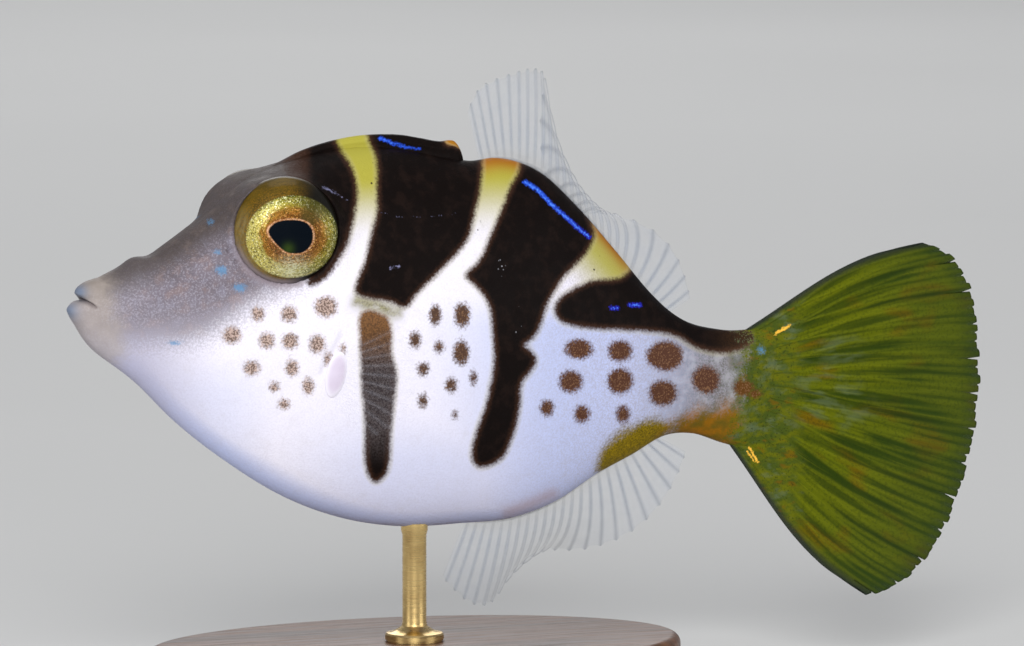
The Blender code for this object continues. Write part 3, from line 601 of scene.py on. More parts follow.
def eye_axes(side):
    """Middle of an eye's orbit and its axes: out, back along the head, and up."""
    out = np.array((
        -math.sin(EYE_TURN) * math.cos(EYE_RISE), side * math.cos(EYE_TURN) * math.cos(EYE_RISE),
        math.sin(EYE_RISE),
    ))
    behind = np.cross((0, 0, 1), out) * -side
    behind /= np.linalg.norm(behind)
    upward = np.cross(behind, out) * side
    middle = np.array(ORBIT_PLACE) * (1, side, 1)
    return middle, out, behind, upward


def sink_eye_pockets(points):
    """Draws the skin in under each eye and raises the rim round it. Returns the rim's mask."""
    rim = np.zeros(len(points))
    for side in (-1, 1):
        middle, out, _, _ = eye_axes(side)
        away = points - middle
        depth = away @ out
        radius = np.linalg.norm(away - depth[:, None] * out, axis=1)
        facing = depth > EYE_FACING
        level = depth - ramp(radius, RIM_EDGE, RIM_FULL) * np.maximum(depth - RIM_DEPTH, 0)
        sunk = level - ramp(radius, POCKET_EDGE, POCKET_FLOOR) * np.maximum(level - POCKET_DEPTH, 0)
        raised = RIDGE_HEIGHT * bell(radius - RIDGE_RADIUS, RIDGE_WIDTH)
        points += out * np.where(facing, sunk + raised - depth, 0)[:, None]
        rim = np.maximum(rim, np.where(facing, bell(radius - RIM_SHADE_RADIUS, RIM_SHADE_WIDTH), 0))
    return rim


def cut_openings(points):
    """Sinks the mouth, the nostrils and the gill slits. Returns the painted shade of mouth and openings."""
    level = (points[:, 0] - MOUTH_PLACE[0]) * math.sin(MOUTH_TILT)
    level = level + (points[:, 2] - MOUTH_PLACE[1]) * math.cos(MOUTH_TILT)
    mouth = ramp(points[:, 0], MOUTH_CORNER, MOUTH_FRONT) * bell(level, MOUTH_WIDTH)
    points[:, 0] += MOUTH_DEPTH * mouth
    points[:, 1] *= 1 - MOUTH_PINCH * mouth
    upper = ramp(points[:, 2], *MUZZLE_FOLD_RISE)
    folds = sum(height * bell(points[:, 0] - place, width) for place, width, height in MUZZLE_FOLDS)
    points[:, 2] += upper * folds
    side = np.sign(points[:, 1])
    profile = points[:, [0, 2]]
    flank = np.abs(points[:, 1]) > FLANK_FROM
    opening_shade = np.zeros(len(points))
    for place in NOSTRILS:
        away = np.linalg.norm(profile - place, axis=1)
        pit = np.where(flank, bell(away, NOSTRIL_RADIUS), 0)
        lip = np.where(flank, bell(away - NOSTRIL_LIP_RADIUS, NOSTRIL_LIP_WIDTH), 0)
        points[:, 1] += side * (NOSTRIL_LIP_HEIGHT * lip - NOSTRIL_DEPTH * pit)
        opening_shade = np.maximum(opening_shade, pit)
    slit = np.where(flank, bell(line_distance(profile, GILL_SLIT), GILL_SLIT_WIDTH), 0)
    points[:, 1] -= side * GILL_SLIT_DEPTH * slit
    return mouth, np.maximum(opening_shade, slit)


# Mesh work


def add_piece(name, add, **settings):
    """Adds a primitive with nothing else selected and gives it its name."""
    bpy.ops.object.select_all(action="DESELECT")
    add(**settings)
    piece = bpy.context.active_object
    piece.name = name
    piece.data.name = name
    return piece


def places_of(piece):
    places = np.empty(len(piece.data.vertices) * 3)
    piece.data.vertices.foreach_get("co", places)
    return places.reshape(-1, 3)


def put_places(piece, places):
    """Gives a piece its final shape, from places in millimetres."""
    piece.data.vertices.foreach_set("co", np.ascontiguousarray(places * MM, np.float32).ravel())
    piece.data.update()


def turn_outwards(piece):
    """Makes every face of a closed piece point out of it, and shades it smooth."""
    bpy.ops.object.select_all(action="DESELECT")
    piece.select_set(True)
    bpy.context.view_layer.objects.active = piece
    bpy.ops.object.mode_set(mode="EDIT")
    bpy.ops.mesh.select_all(action="SELECT")
    bpy.ops.mesh.normals_make_consistent(inside=False)
    bpy.ops.object.mode_set(mode="OBJECT")
    bpy.ops.object.shade_smooth()


def add_masks(piece, masks):
    """Gives each point of a piece its value of every mask, for the material to read."""
    for name, values in masks.items():
        layer = piece.data.attributes.new(name, "FLOAT", "POINT")
        layer.data.foreach_set("value", np.ascontiguousarray(values, np.float32))


def add_ball(name, turns, rings):
    """A ball to be shaped: the piece, the share of its rings from pole to pole, and the turn."""
    piece = add_piece(name, bpy.ops.mesh.primitive_uv_sphere_add, segments=turns, ring_count=rings,
                      radius=1)
    places = places_of(piece)
    share = np.arccos(np.clip(places[:, 2], -1, 1)) / math.pi
    return piece, share, np.arctan2(places[:, 1], places[:, 0])


def add_sheet(name, columns, rows):
    """A thin slab to be shaped: the piece, the share across and along it, and the side of each point."""
    piece = add_piece(name, bpy.ops.mesh.primitive_grid_add, x_subdivisions=columns, y_subdivisions=rows,
                      size=1)
    wall = piece.modifiers.new("wall", "SOLIDIFY")
    wall.thickness = 1
    wall.offset = 0
    bpy.ops.object.modifier_apply(modifier=wall.name)
    places = places_of(piece)
    return piece, places[:, 0] + 0.5, places[:, 1] + 0.5, np.sign(places[:, 2])


def shape_sheet(piece, across, along, side, middle, wall):
    """Lays a slab along a middle surface, with half its wall to either side."""
    step = 1e-3
    normal = np.cross(
        middle(across + step, along) - middle(across - step, along),
        middle(across, along + step) - middle(across, along - step),
    )
    normal /= np.linalg.norm(normal, axis=1)[:, None]
    put_places(piece, middle(across, along) + normal * (side * wall / 2)[:, None])
    turn_outwards(piece)


def finish_piece(piece, material, slot, *nodes):
    """Gives a piece its material and tells the frame its body and the nodes it replaces; the slot is not
    used.
    """
    piece.data.materials.clear()
    piece.data.materials.append(material)
    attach(piece, "root")
    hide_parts(*nodes)


# Materials


class Finish:
    """A node tree that is filled a node at a time; each call gives back the new node's output."""

    def __init__(self, tree):
        self.tree = tree

    def feed(self, socket, value):
        if isinstance(value, bpy.types.NodeSocket):
            self.tree.links.new(value, socket)
        elif socket.type == "RGBA" and len(value) == 3:
            socket.default_value = (*value, 1)
        else:
            socket.default_value = value

    def node(self, kind, inputs=None, output=0, **settings):
        made = self.tree.nodes.new(kind)
        for key, value in settings.items():
            setattr(made, key, value)
        for key, value in (inputs or {}).items():
            self.feed(made.inputs[key], value)
        return made.outputs[output]

    def object_place(self):
        return self.node("ShaderNodeTexCoord", output="Object")

    def mask(self, name):
        return self.node("ShaderNodeAttribute", output="Fac", attribute_name=name)

    def noise(self, place, size, detail=2.0, roughness=0.5, distortion=0.0):
        return self.node("ShaderNodeTexNoise", {
            "Vector": place, "Scale": 1 / size, "Detail": detail, "Roughness": roughness,
            "Distortion": distortion,
        })

    def rise(self, value, low, high, bottom=0.0, top=1.0):
        return self.node("ShaderNodeMapRange", {
            "Value": value, "From Min": low, "From Max": high, "To Min": bottom, "To Max": top,
        }, interpolation_type="SMOOTHSTEP")

    def maths(self, operation, first, second=0.0, third=0.0):
        return self.node("ShaderNodeMath", {0: first, 1: second, 2: third}, operation=operation)

    def times(self, first, second):
        return self.maths("MULTIPLY", first, second)

    def shifted(self, value, shift, amount):
        """The value with the shift added to it, the given amount of times."""
        return self.maths("MULTIPLY_ADD", shift, amount, value)

    def centred(self, value):
        """A noise from 0 to 1 moved to lie evenly round 0."""
        return self.maths("SUBTRACT", value, 0.5)

    def cells(self, place, size):
        return self.node("ShaderNodeTexVoronoi", {"Vector": place, "Scale": 1 / size})

    def stretched(self, place, scale):
        return self.node("ShaderNodeMapping", {"Vector": place, "Scale": scale})

    def mix(self, share, first, second):
        return self.node("ShaderNodeMix", {0: share, 6: first, 7: second}, output=2, data_type="RGBA")

    def layers(self, colour, *layers):
        """The colour with paints laid over it in turn, each given as (share, paint)."""
        for share, paint in layers:
            colour = self.mix(share, colour, paint)
        return colour

    def ramp(self, value, *stops):
        made = self.tree.nodes.new("ShaderNodeValToRGB")
        self.feed(made.inputs["Fac"], value)
        elements = made.color_ramp.elements
        while len(elements) < len(stops):
            elements.new(1)
        for element, (place, colour) in zip(elements, stops):
            element.position = place
            element.color = (*colour, 1)
        return made.outputs["Color"]

    def vector(self, x, y, z=0.0):
        return self.node("ShaderNodeCombineXYZ", {"X": x, "Y": y, "Z": z})

    def bump(self, height, distance, strength=1.0):
        return self.node("ShaderNodeBump", {"Height": height, "Distance": distance, "Strength": strength})

    def group(self, group, inputs):
        made = self.tree.nodes.new("ShaderNodeGroup")
        made.node_tree = group
        for key, value in inputs.items():
            self.feed(made.inputs[key], value)
        return made.outputs


def new_material(name, **shader):
    """A material, its finish to add nodes to, and a function that sets its Principled shader."""
    material = bpy.data.materials.new(name)
    material.use_nodes = True
    finish = Finish(material.node_tree)
    principled = material.node_tree.nodes["Principled BSDF"]

    def set_shader(**values):
        for key, value in values.items():
            finish.feed(principled.inputs[key.replace("_", " ").title().replace("Ior", "IOR")], value)

    set_shader(**shader)
    return material, finish, set_shader


def new_group(name, inputs, outputs):
    """An empty group of shader nodes: its tree, its finish, its input sockets and its exit."""
    tree = bpy.data.node_groups.new(name, "ShaderNodeTree")
    for socket, kind in inputs.items():
        tree.interface.new_socket(name=socket, in_out="INPUT", socket_type=kind)
    for socket, kind in outputs.items():
        tree.interface.new_socket(name=socket, in_out="OUTPUT", socket_type=kind)
    entry = tree.nodes.new("NodeGroupInput")
    way_out = tree.nodes.new("NodeGroupOutput")
    return tree, Finish(tree), entry.outputs, way_out.inputs


def grain_group():
    """Fine grain of the prickly skin: pale and dark flecks, and the height of the prickles."""
    name, number = "Skin grain", "NodeSocketFloat"
    if name in bpy.data.node_groups:
        return bpy.data.node_groups[name]
    inputs = {"Place": "NodeSocketVector", "Fineness": number}
    outputs = {"Fleck": number, "Cloud": number, "Height": number}
    tree, finish, entry, way_out = new_group(name, inputs, outputs)
    place, fineness = entry["Place"], entry["Fineness"]
    fine = finish.node("ShaderNodeTexNoise", {
        "Vector": place, "Scale": fineness, "Detail": 3.0, "Roughness": 0.62,
    })
    cloud = finish.node("ShaderNodeTexNoise", {
        "Vector": place, "Scale": finish.times(fineness, 0.13), "Detail": 3.0,
    })
    prickles = finish.node("ShaderNodeTexVoronoi", {"Vector": place, "Scale": finish.times(fineness, 0.8)})
    finish.feed(way_out["Fleck"], finish.rise(fine, 0.34, 0.66))
    finish.feed(way_out["Cloud"], finish.rise(cloud, 0.3, 0.7))
    finish.feed(way_out["Height"], finish.rise(prickles, 0.7, 0.1))
    return tree


def root_group():
    """Mottled greens of the tail's root, which the skin's end and the fin share where they meet."""
    name = "Tail root"
    if name in bpy.data.node_groups:
        return bpy.data.node_groups[name]
    tree, finish, entry, way_out = new_group(
        name, {"Place": "NodeSocketVector"}, {"Colour": "NodeSocketColor"},
    )
    drawn = finish.stretched(entry["Place"], (0.45, 1, 1))
    streak = finish.noise(drawn, 0.0006, 3.0, 0.6)
    patch = finish.noise(drawn, 0.0009, 3.0, 0.6)
    fine = finish.noise(entry["Place"], 0.00016, 2.0)
    finish.feed(way_out["Colour"], finish.layers(
        finish.mix(finish.rise(streak, 0.36, 0.62), (0.120, 0.130, 0.005), (0.060, 0.085, 0.010)),
        (finish.rise(patch, 0.50, 0.70, 0.0, 0.45), (0.13, 0.17, 0.11)),
        (finish.rise(patch, 0.42, 0.30, 0.0, 0.55), (0.19, 0.085, 0.003)),
        (finish.rise(fine, 0.56, 0.72, 0.0, 0.7), (0.022, 0.030, 0.006)),
    ))
    return tree


def skin_material(settings):
    """All of the skin's colours, laid over each other from the pale ground up."""
    material, finish, set_shader = new_material(
        "fish_skin", specular_ior_level=0.04, coat_weight=0.01, coat_roughness=0.25,
    )
    mask, mix, rise, times = finish.mask, finish.mix, finish.rise, finish.times
    place = finish.object_place()
    grain = finish.group(grain_group(), {"Place": place, "Fineness": 1 / settings.grain})
    fleck, cloud = grain["Fleck"], grain["Cloud"]
    frayed = finish.centred(finish.noise(place, 0.00019, 3.0, 0.65))
    wavy = finish.centred(finish.noise(place, 0.0016, 1.0))
    mottle = finish.noise(place, 0.0011, 3.0, 0.6)

    def edged(name, fray, soft, waves):
        """The share of a marking from its depth inside its outline, with a frayed and wavy edge."""
        return rise(finish.shifted(finish.shifted(mask(name), frayed, fray), wavy, waves), -soft, soft)

    white = finish.layers(
        settings.white,
        (mask("cool"), (0.46, 0.53, 0.82)),
        (mask("throat"), (0.445, 0.43, 0.56)),
        (mask("dusky"), mix(rise(mottle, 0.34, 0.56), (0.30, 0.30, 0.29), (0.10, 0.10, 0.07))),
        (times(fleck, mask("grainy")), (0.36, 0.33, 0.40)),
    )
    speck = times(rise(fleck, 0.5, 1.0, 0.0, 0.30), rise(mask("crown"), 0.9, 0.0, 0.15, 1.0))
    lilac = finish.layers(
        mix(cloud, (0.155, 0.132, 0.155), settings.lilac),
        (rise(mottle, 0.50, 0.66, 0.0, 0.6), (0.24, 0.165, 0.165)),
        (rise(mottle, 0.46, 0.34, 0.0, 0.5), (0.25, 0.24, 0.30)),
        (mask("fore"), (0.355, 0.33, 0.385)),
        # darker along the top of the snout: partly the skin's own colour, partly painted shade where light
        # falls off
        (mask("crown"), (0.058, 0.045, 0.034)),
        (speck, (0.50, 0.48, 0.56)),
        (rise(fleck, 0.45, 0.0, 0.0, 0.28), (0.10, 0.08, 0.10)),
    )
    snout = finish.shifted(mask("snout"), finish.centred(fleck), 0.3)
    muzzle = finish.shifted(mask("muzzle"), finish.centred(mottle), 0.8)
    gap = times(mask("gap"), rise(mottle, 0.34, 0.60, 0.6, 1.0))
    ground = finish.layers(
        mix(rise(snout, 0.05, 0.95), white, lilac),
        (rise(muzzle, -0.05, 0.85, 0.0, 0.6), mix(mottle, (0.30, 0.25, 0.20), (0.52, 0.46, 0.42))),
        (mask("lips"), (0.16, 0.22, 0.33)),
        (mask("bar"), settings.yellow),
        (mask("ember"), (0.36, 0.13, 0.010)),
        (times(rise(mask("saddle"), -5.0, -1.0), mask("halo")), (0.48, 0.43, 0.24)),
        (gap, mix(fleck, (0.19, 0.17, 0.09), (0.34, 0.32, 0.19))),
        (edged("yellow", 16.0, 7.0, 8.0), mix(fleck, (0.28, 0.19, 0.005), (0.11, 0.078, 0.005))),
        (edged("rust", 22.0, 12.0, 12.0), mix(cloud, (0.27, 0.11, 0.005), (0.13, 0.085, 0.008))),
    )
    leaf = mask("leaf")
    patchy = finish.shifted(finish.shifted(finish.shifted(-0.8, fleck, 0.6), mottle, 1.0), wavy, 1.6)
    change = times(rise(leaf, 0.0, 0.3, 0.0, 0.9), rise(leaf, 1.0, 0.7))
    green = rise(finish.shifted(leaf, patchy, change), 0.1, 0.95)
    spot = finish.layers(
        mix(mask("warm"), (0.085, 0.050, 0.036), settings.spots),
        (rise(leaf, 0.1, 0.6), (0.11, 0.045, 0.010)),
        (rise(fleck, 0.62, 0.98, 0.0, 0.5), (0.30, 0.16, 0.08)),
        (times(rise(fleck, 0.25, 0.85, 0.15, 0.75), mask("spot_pale")), (0.66, 0.50, 0.44)),
    )
    deep = mix(rise(mottle, 0.45, 0.7), settings.dark, (0.011, 0.0062, 0.005))
    edge = rise(finish.shifted(mask("saddle"), frayed, 6.0), 0.5, 8.0)
    dark = finish.layers(
        mix(edge, (0.045, 0.020, 0.012), deep),
        (mask("dusty"), mix(fleck, (0.12, 0.10, 0.10), (0.035, 0.024, 0.024))),
        (mask("rusty"), mix(fleck, (0.24, 0.115, 0.045), (0.12, 0.060, 0.030))),
    )
    core = finish.shifted(mask("blue"), frayed, 6.0)
    blue = mix(mask("violet"), (0.02, 0.08, 0.62), (0.018, 0.02, 0.42))
    pores = times(rise(finish.cells(place, 0.00055), 0.20, 0.12), mask("pores"))
    pale = rise(finish.shifted(mask("pale"), frayed, 6.0), -0.4, 1.8, 0.0, 0.5)
    dots = times(rise(finish.cells(place, 0.00042), 0.19, 0.11, 0.0, 0.6), mask("dots"))
    azure = rise(finish.shifted(mask("fleck"), frayed, 14.0), -3.0, 3.0, 0.0, 0.72)
    colour = finish.layers(
        ground,
        (green, finish.group(root_group(), {"Place": place})["Colour"]),
        (edged("spot", 13.0, 3.6, 2.0), spot),
        (times(edged("saddle", 6.5, 3.2, 2.0), rise(green, 1.0, 0.6)), dark),
        (pores, (0.03, 0.02, 0.015)),
        (rise(core, -1.1, 1.0), mix(rise(core, 0.6, 2.4), blue, (0.09, 0.26, 0.95))),
        (pale, (0.42, 0.42, 0.70)),
        (dots, (0.45, 0.45, 0.50)),
        (azure, (0.10, 0.27, 0.48)),
        (times(mask("rim"), rise(mask("saddle"), 0.0, -6.0)), (0.30, 0.25, 0.28)),
        # painted shade: darker in the nostrils, the gill slits and the mouth slit
        (mask("opening_shade"), (0.14, 0.09, 0.10)),
        (mask("mouth"), (0.10, 0.07, 0.08)),
    )
    set_shader(base_color=colour, normal=finish.bump(grain["Height"], 0.00002, 0.45))
    set_shader(roughness=rise(cloud, 0.0, 1.0, 0.42, 0.55))
    return material


def eye_material(settings):
    """Iris, pupil and outer band, by masks that the eye carries."""
    material, finish, set_shader = new_material(
        "fish_eye", roughness=0.36, specular_ior_level=0.1, coat_weight=0.2, coat_roughness=0.03,
        coat_ior=1.4,
    )
    mask, mix, rise, times = finish.mask, finish.mix, finish.rise, finish.times
    place = finish.object_place()
    swirl = finish.node("ShaderNodeAttribute", output="Vector", attribute_name="iris")
    streaks = finish.noise(swirl, 1.0, 4.0, 0.65)
    threads = finish.noise(finish.stretched(swirl, (2.9, 2.9, 1.35)), 1.0, 3.0, 0.7)
    arcs = finish.noise(finish.stretched(swirl, (0.9, 0.9, 2.2)), 1.0, 3.0, 0.6)
    sparkle = finish.noise(place, 0.00011, 3.0, 0.7)
    glitter = finish.noise(place, 0.00015, 2.0, 0.8)
    out = mask("iris_share")
    wander = finish.shifted(out, finish.centred(streaks), 0.42)
    ring = rise(wander, 0.66, 0.84)
    bright = mix(ring, (0.44, 0.19, 0.035), (0.62, 0.49, 0.09))
    iris = finish.ramp(
        wander, (0.36, (0.10, 0.028, 0.006)), (0.52, settings.amber), (0.66, (0.27, 0.12, 0.012)),
        (0.78, settings.gold), (0.90, (0.24, 0.225, 0.028)), (0.98, (0.10, 0.115, 0.012)),
    )
    iris = finish.layers(
        iris,
        (times(ring, mask("iris_lit")), (0.62, 0.53, 0.14)),
        (rise(arcs, 0.47, 0.36, 0.0, 0.40), (0.075, 0.045, 0.004)),
        (rise(threads, 0.48, 0.38, 0.0, 0.25), (0.060, 0.042, 0.003)),
        (rise(arcs, 0.54, 0.68, 0.0, 0.6), bright),
        (rise(threads, 0.54, 0.68, 0.0, 0.5), bright),
        (rise(glitter, 0.55, 0.65, 0.0, 0.9), mix(ring, (0.72, 0.38, 0.10), (0.94, 0.92, 0.52))),
        (rise(sparkle, 0.50, 0.38, 0.0, 0.9), (0.055, 0.036, 0.004)),
        (mask("iris_shade"), (0.05, 0.045, 0.010)),
        # painted highlight: the ring paler low in the iris
        (times(mask("iris_low_highlight"), rise(threads, 0.40, 0.60, 0.3, 1.4)), (0.66, 0.66, 0.44)),
    )
    amber_specks = times(rise(sparkle, 0.46, 0.62, 0.0, 0.8), rise(out, 1.5, 1.05))
    band = finish.layers(
        settings.olive,
        (mask("band_lit"), (0.28, 0.22, 0.09)),
        (rise(streaks, 0.40, 0.62, 0.0, 0.6), (0.045, 0.030, 0.003)),
        (amber_specks, (0.21, 0.105, 0.007)),
        (mask("band_shade"), (0.007, 0.006, 0.004)),
    )
    pupil_edge = finish.shifted(mask("pupil"), finish.centred(sparkle), 0.10)
    inside = rise(pupil_edge, 0.035, -0.035)
    copper = mix(rise(threads, 0.40, 0.62), (0.30, 0.12, 0.035), (0.66, 0.38, 0.22))
    # painted highlight: a pale line round the eye's edge, only on its lit side
    lit_lining = times(rise(mask("eye_out"), 3.84, 3.92), mask("lit_edge"))
    colour = finish.layers(
        mix(rise(out, 0.985, 1.03), iris, band),
        (rise(pupil_edge, 0.12, 0.06), copper),
        # painted reflection: a greenish patch low in the black pupil
        (inside, mix(mask("pupil_reflection"), (0.002, 0.004, 0.007), (0.05, 0.09, 0.010))),
        (times(lit_lining, rise(sparkle, 0.30, 0.60, 0.25, 0.85)), (0.24, 0.18, 0.12)),
        # painted shade: darker where the eye dips under the skin's rim
        (mask("wall"), (0.060, 0.048, 0.030)),
        (mask("low_edge"), (0.27, 0.23, 0.26)),
    )
    metal = times(rise(out, 1.02, 0.98, 0.0, 0.35), rise(pupil_edge, -0.02, 0.06))
    set_shader(base_color=colour, metallic=metal, normal=finish.bump(sparkle, 0.00003, 0.5))
    set_shader(coat_weight=rise(inside, 0.0, 1.0, 0.2, 0.03))
    set_shader(specular_ior_level=rise(inside, 0.0, 1.0, 0.1, 0.02))
    return material


def clear_fin_material(settings, name, film_share, ray_share, bone, root_share):
    """Clear film with faint rays; the shares say how solid the film, the rays and the root look."""
    material, finish, set_shader = new_material(
        name, roughness=0.35, specular_ior_level=0.25, coat_weight=0.1, coat_roughness=0.2,
    )
    mix, rise = finish.mix, finish.rise
    place = finish.object_place()
    ray, reach = finish.mask("ray"), finish.mask("reach")
    cloud = finish.noise(place, 0.0012, 2.0)
    colour = finish.layers(
        mix(cloud, settings.clear, (0.40, 0.46, 0.60)),
        (ray, mix(finish.noise(place, 0.0003, 2.0), bone, tuple(1.5 * part for part in bone))),
        # painted shade along the fin's root where it meets the body
        (finish.mask("fin_root_shade"), (0.06, 0.045, 0.035)),
    )
    film = rise(cloud, 0.3, 0.7, 0.7 * film_share, 1.3 * film_share)
    strength = finish.times(rise(reach, 0.0, 0.3), rise(reach, 0.1, 1.0, 1.0, 0.6))
    solid = finish.shifted(film, finish.times(ray, strength), ray_share)
    solid = finish.maths("MAXIMUM", solid, rise(reach, 0.13, 0.02, 0.0, root_share))
    set_shader(base_color=colour, alpha=solid)
    set_shader(normal=finish.bump(finish.noise(place, 0.00025, 2.0), 0.00002, 0.4))
    return material


def tail_material(settings):
    """Olive and lime film with streaks that run out along the rays."""
    material, finish, set_shader = new_material("green_fin", roughness=0.6, specular_ior_level=0.03)
    mask, rise, times = finish.mask, finish.rise, finish.times
    place = finish.object_place()
    grain = finish.group(grain_group(), {"Place": place, "Fineness": 1 / 0.00022})
    share, reach, ray = mask("share"), mask("reach"), mask("ray")

    def streaks(across, along, seed):
        return finish.noise(finish.vector(times(share, across), times(reach, along), seed), 1.0, 2.0, 0.55)

    broad, narrow, fine = streaks(11.0, 1.1, 0.0), streaks(30.0, 1.6, 3.0), streaks(120.0, 4.0, 7.0)
    warm, milk = streaks(9.0, 3.2, 11.0), streaks(26.0, 9.0, 5.0)
    between = times(rise(ray, 0.35, 0.05, 0.0, 0.7), rise(narrow, 0.42, 0.62))
    root = finish.shifted(mask("root"), finish.centred(narrow), 1.4)
    frayed = finish.centred(finish.noise(place, 0.00018, 2.0))
    colour = finish.layers(
        finish.mix(rise(narrow, 0.36, 0.64), settings.lime, (0.062, 0.080, 0.003)),
        (rise(warm, 0.52, 0.66, 0.0, 0.75), (0.15, 0.078, 0.002)),
        (rise(broad, 0.50, 0.62, 0.0, 0.85), settings.green),
        (rise(fine, 0.54, 0.74, 0.0, 0.4), (0.17, 0.18, 0.008)),
        (times(ray, 0.4), (0.15, 0.17, 0.006)),
        (times(between, rise(reach, 0.15, 0.6)), (0.030, 0.046, 0.003)),
        (times(mask("fold"), rise(narrow, 0.35, 0.6, 0.25, 1.0)), (0.012, 0.022, 0.003)),
        (rise(grain["Fleck"], 0.55, 0.98, 0.0, 0.3), (0.016, 0.028, 0.004)),
        (times(mask("milky"), rise(milk, 0.44, 0.66)), (0.12, 0.16, 0.08)),
        (rise(root, 0.2, 0.8), finish.group(root_group(), {"Place": place})["Colour"]),
        (mask("margin"), (0.022, 0.042, 0.010)),
        (mask("dusk"), (0.020, 0.026, 0.020)),
        (rise(finish.shifted(mask("glint"), frayed, 4.5), -0.2, 1.2), (0.90, 0.50, 0.06)),
    )
    clear = times(mask("thin"), rise(ray, 0.7, 0.2, 0.0, 0.12))
    set_shader(base_color=colour, alpha=finish.maths("SUBTRACT", 0.98, clear))
    set_shader(normal=finish.bump(grain["Height"], 0.00002, 0.4))
    return material


def lobe_material():
    """Pale, faintly lilac flesh of the pectoral fins' lobes."""
    material, finish, set_shader = new_material("fin_lobe", roughness=0.5, specular_ior_level=0.2)
    grain = finish.group(grain_group(), {"Place": finish.object_place(), "Fineness": 1 / 0.0003})
    colour = finish.mix(grain["Cloud"], (0.74, 0.67, 0.80), (0.66, 0.58, 0.71))
    colour = finish.mix(finish.mask("edge"), colour, (0.84, 0.80, 0.90))
    set_shader(base_color=colour, normal=finish.bump(grain["Height"], 0.00002, 0.4))
    return material


def wood_material(settings):
    """Dark oiled wood, its grain drawn out along the base."""
    material, finish, set_shader = new_material(
        "walnut", specular_ior_level=0.3, coat_weight=0.15, coat_roughness=0.2,
    )
    place = finish.object_place()
    drawn = finish.stretched(place, (1, 7, 7))
    flow = finish.noise(drawn, 0.03, 4.0, 0.6, 0.6)
    pores = finish.noise(finish.stretched(place, (1, 16, 16)), 0.006, 3.0, 0.7)
    rings = finish.node("ShaderNodeTexWave", {
        "Vector": drawn, "Scale": 26.0, "Distortion": 5.0, "Detail": 3.0, "Detail Scale": 1.2,
    }, bands_direction="Y")
    light = tuple(min(1, 1.9 * part) for part in settings.wood)
    deep = tuple(0.42 * part for part in settings.wood)
    colour = finish.layers(
        settings.wood,
        (finish.times(rings, 0.6), light),
        (finish.rise(flow, 0.5, 0.75), deep),
        (finish.rise(pores, 0.58, 0.72, 0.0, 0.8), deep),
    )
    set_shader(base_color=colour, roughness=finish.rise(pores, 0.3, 0.7, 0.32, 0.5))
    set_shader(normal=finish.bump(finish.rise(pores, 0.7, 0.5), 0.00004, 0.4))
    return material


def brass_material(settings):
    """Satin brass with fine turning lines and a little tarnish."""
    material, finish, set_shader = new_material("brass", metallic=1.0)
    place = finish.object_place()
    turned = finish.noise(finish.stretched(place, (1, 1, 30)), 0.004, 3.0, 0.6)
    tarnish = finish.noise(place, 0.003, 3.0, 0.6)
    colour = finish.mix(finish.rise(tarnish, 0.45, 0.75, 0.0, 0.6), settings.brass, (0.42, 0.27, 0.10))
    set_shader(base_color=colour, roughness=finish.rise(turned, 0.3, 0.7, 0.22, 0.38))
    set_shader(normal=finish.bump(turned, 0.00002, 0.3))
    return material


def floor_material():
    """Matt pale studio floor."""
    material, finish, set_shader = new_material("studio_floor", specular_ior_level=0.15)
    cloud = finish.noise(finish.object_place(), 0.09, 3.0)
    set_shader(base_color=finish.mix(cloud, (0.60, 0.60, 0.59), (0.64, 0.64, 0.63)))
    set_shader(roughness=finish.rise(cloud, 0.3, 0.7, 0.7, 0.85))
    return material


# Pieces


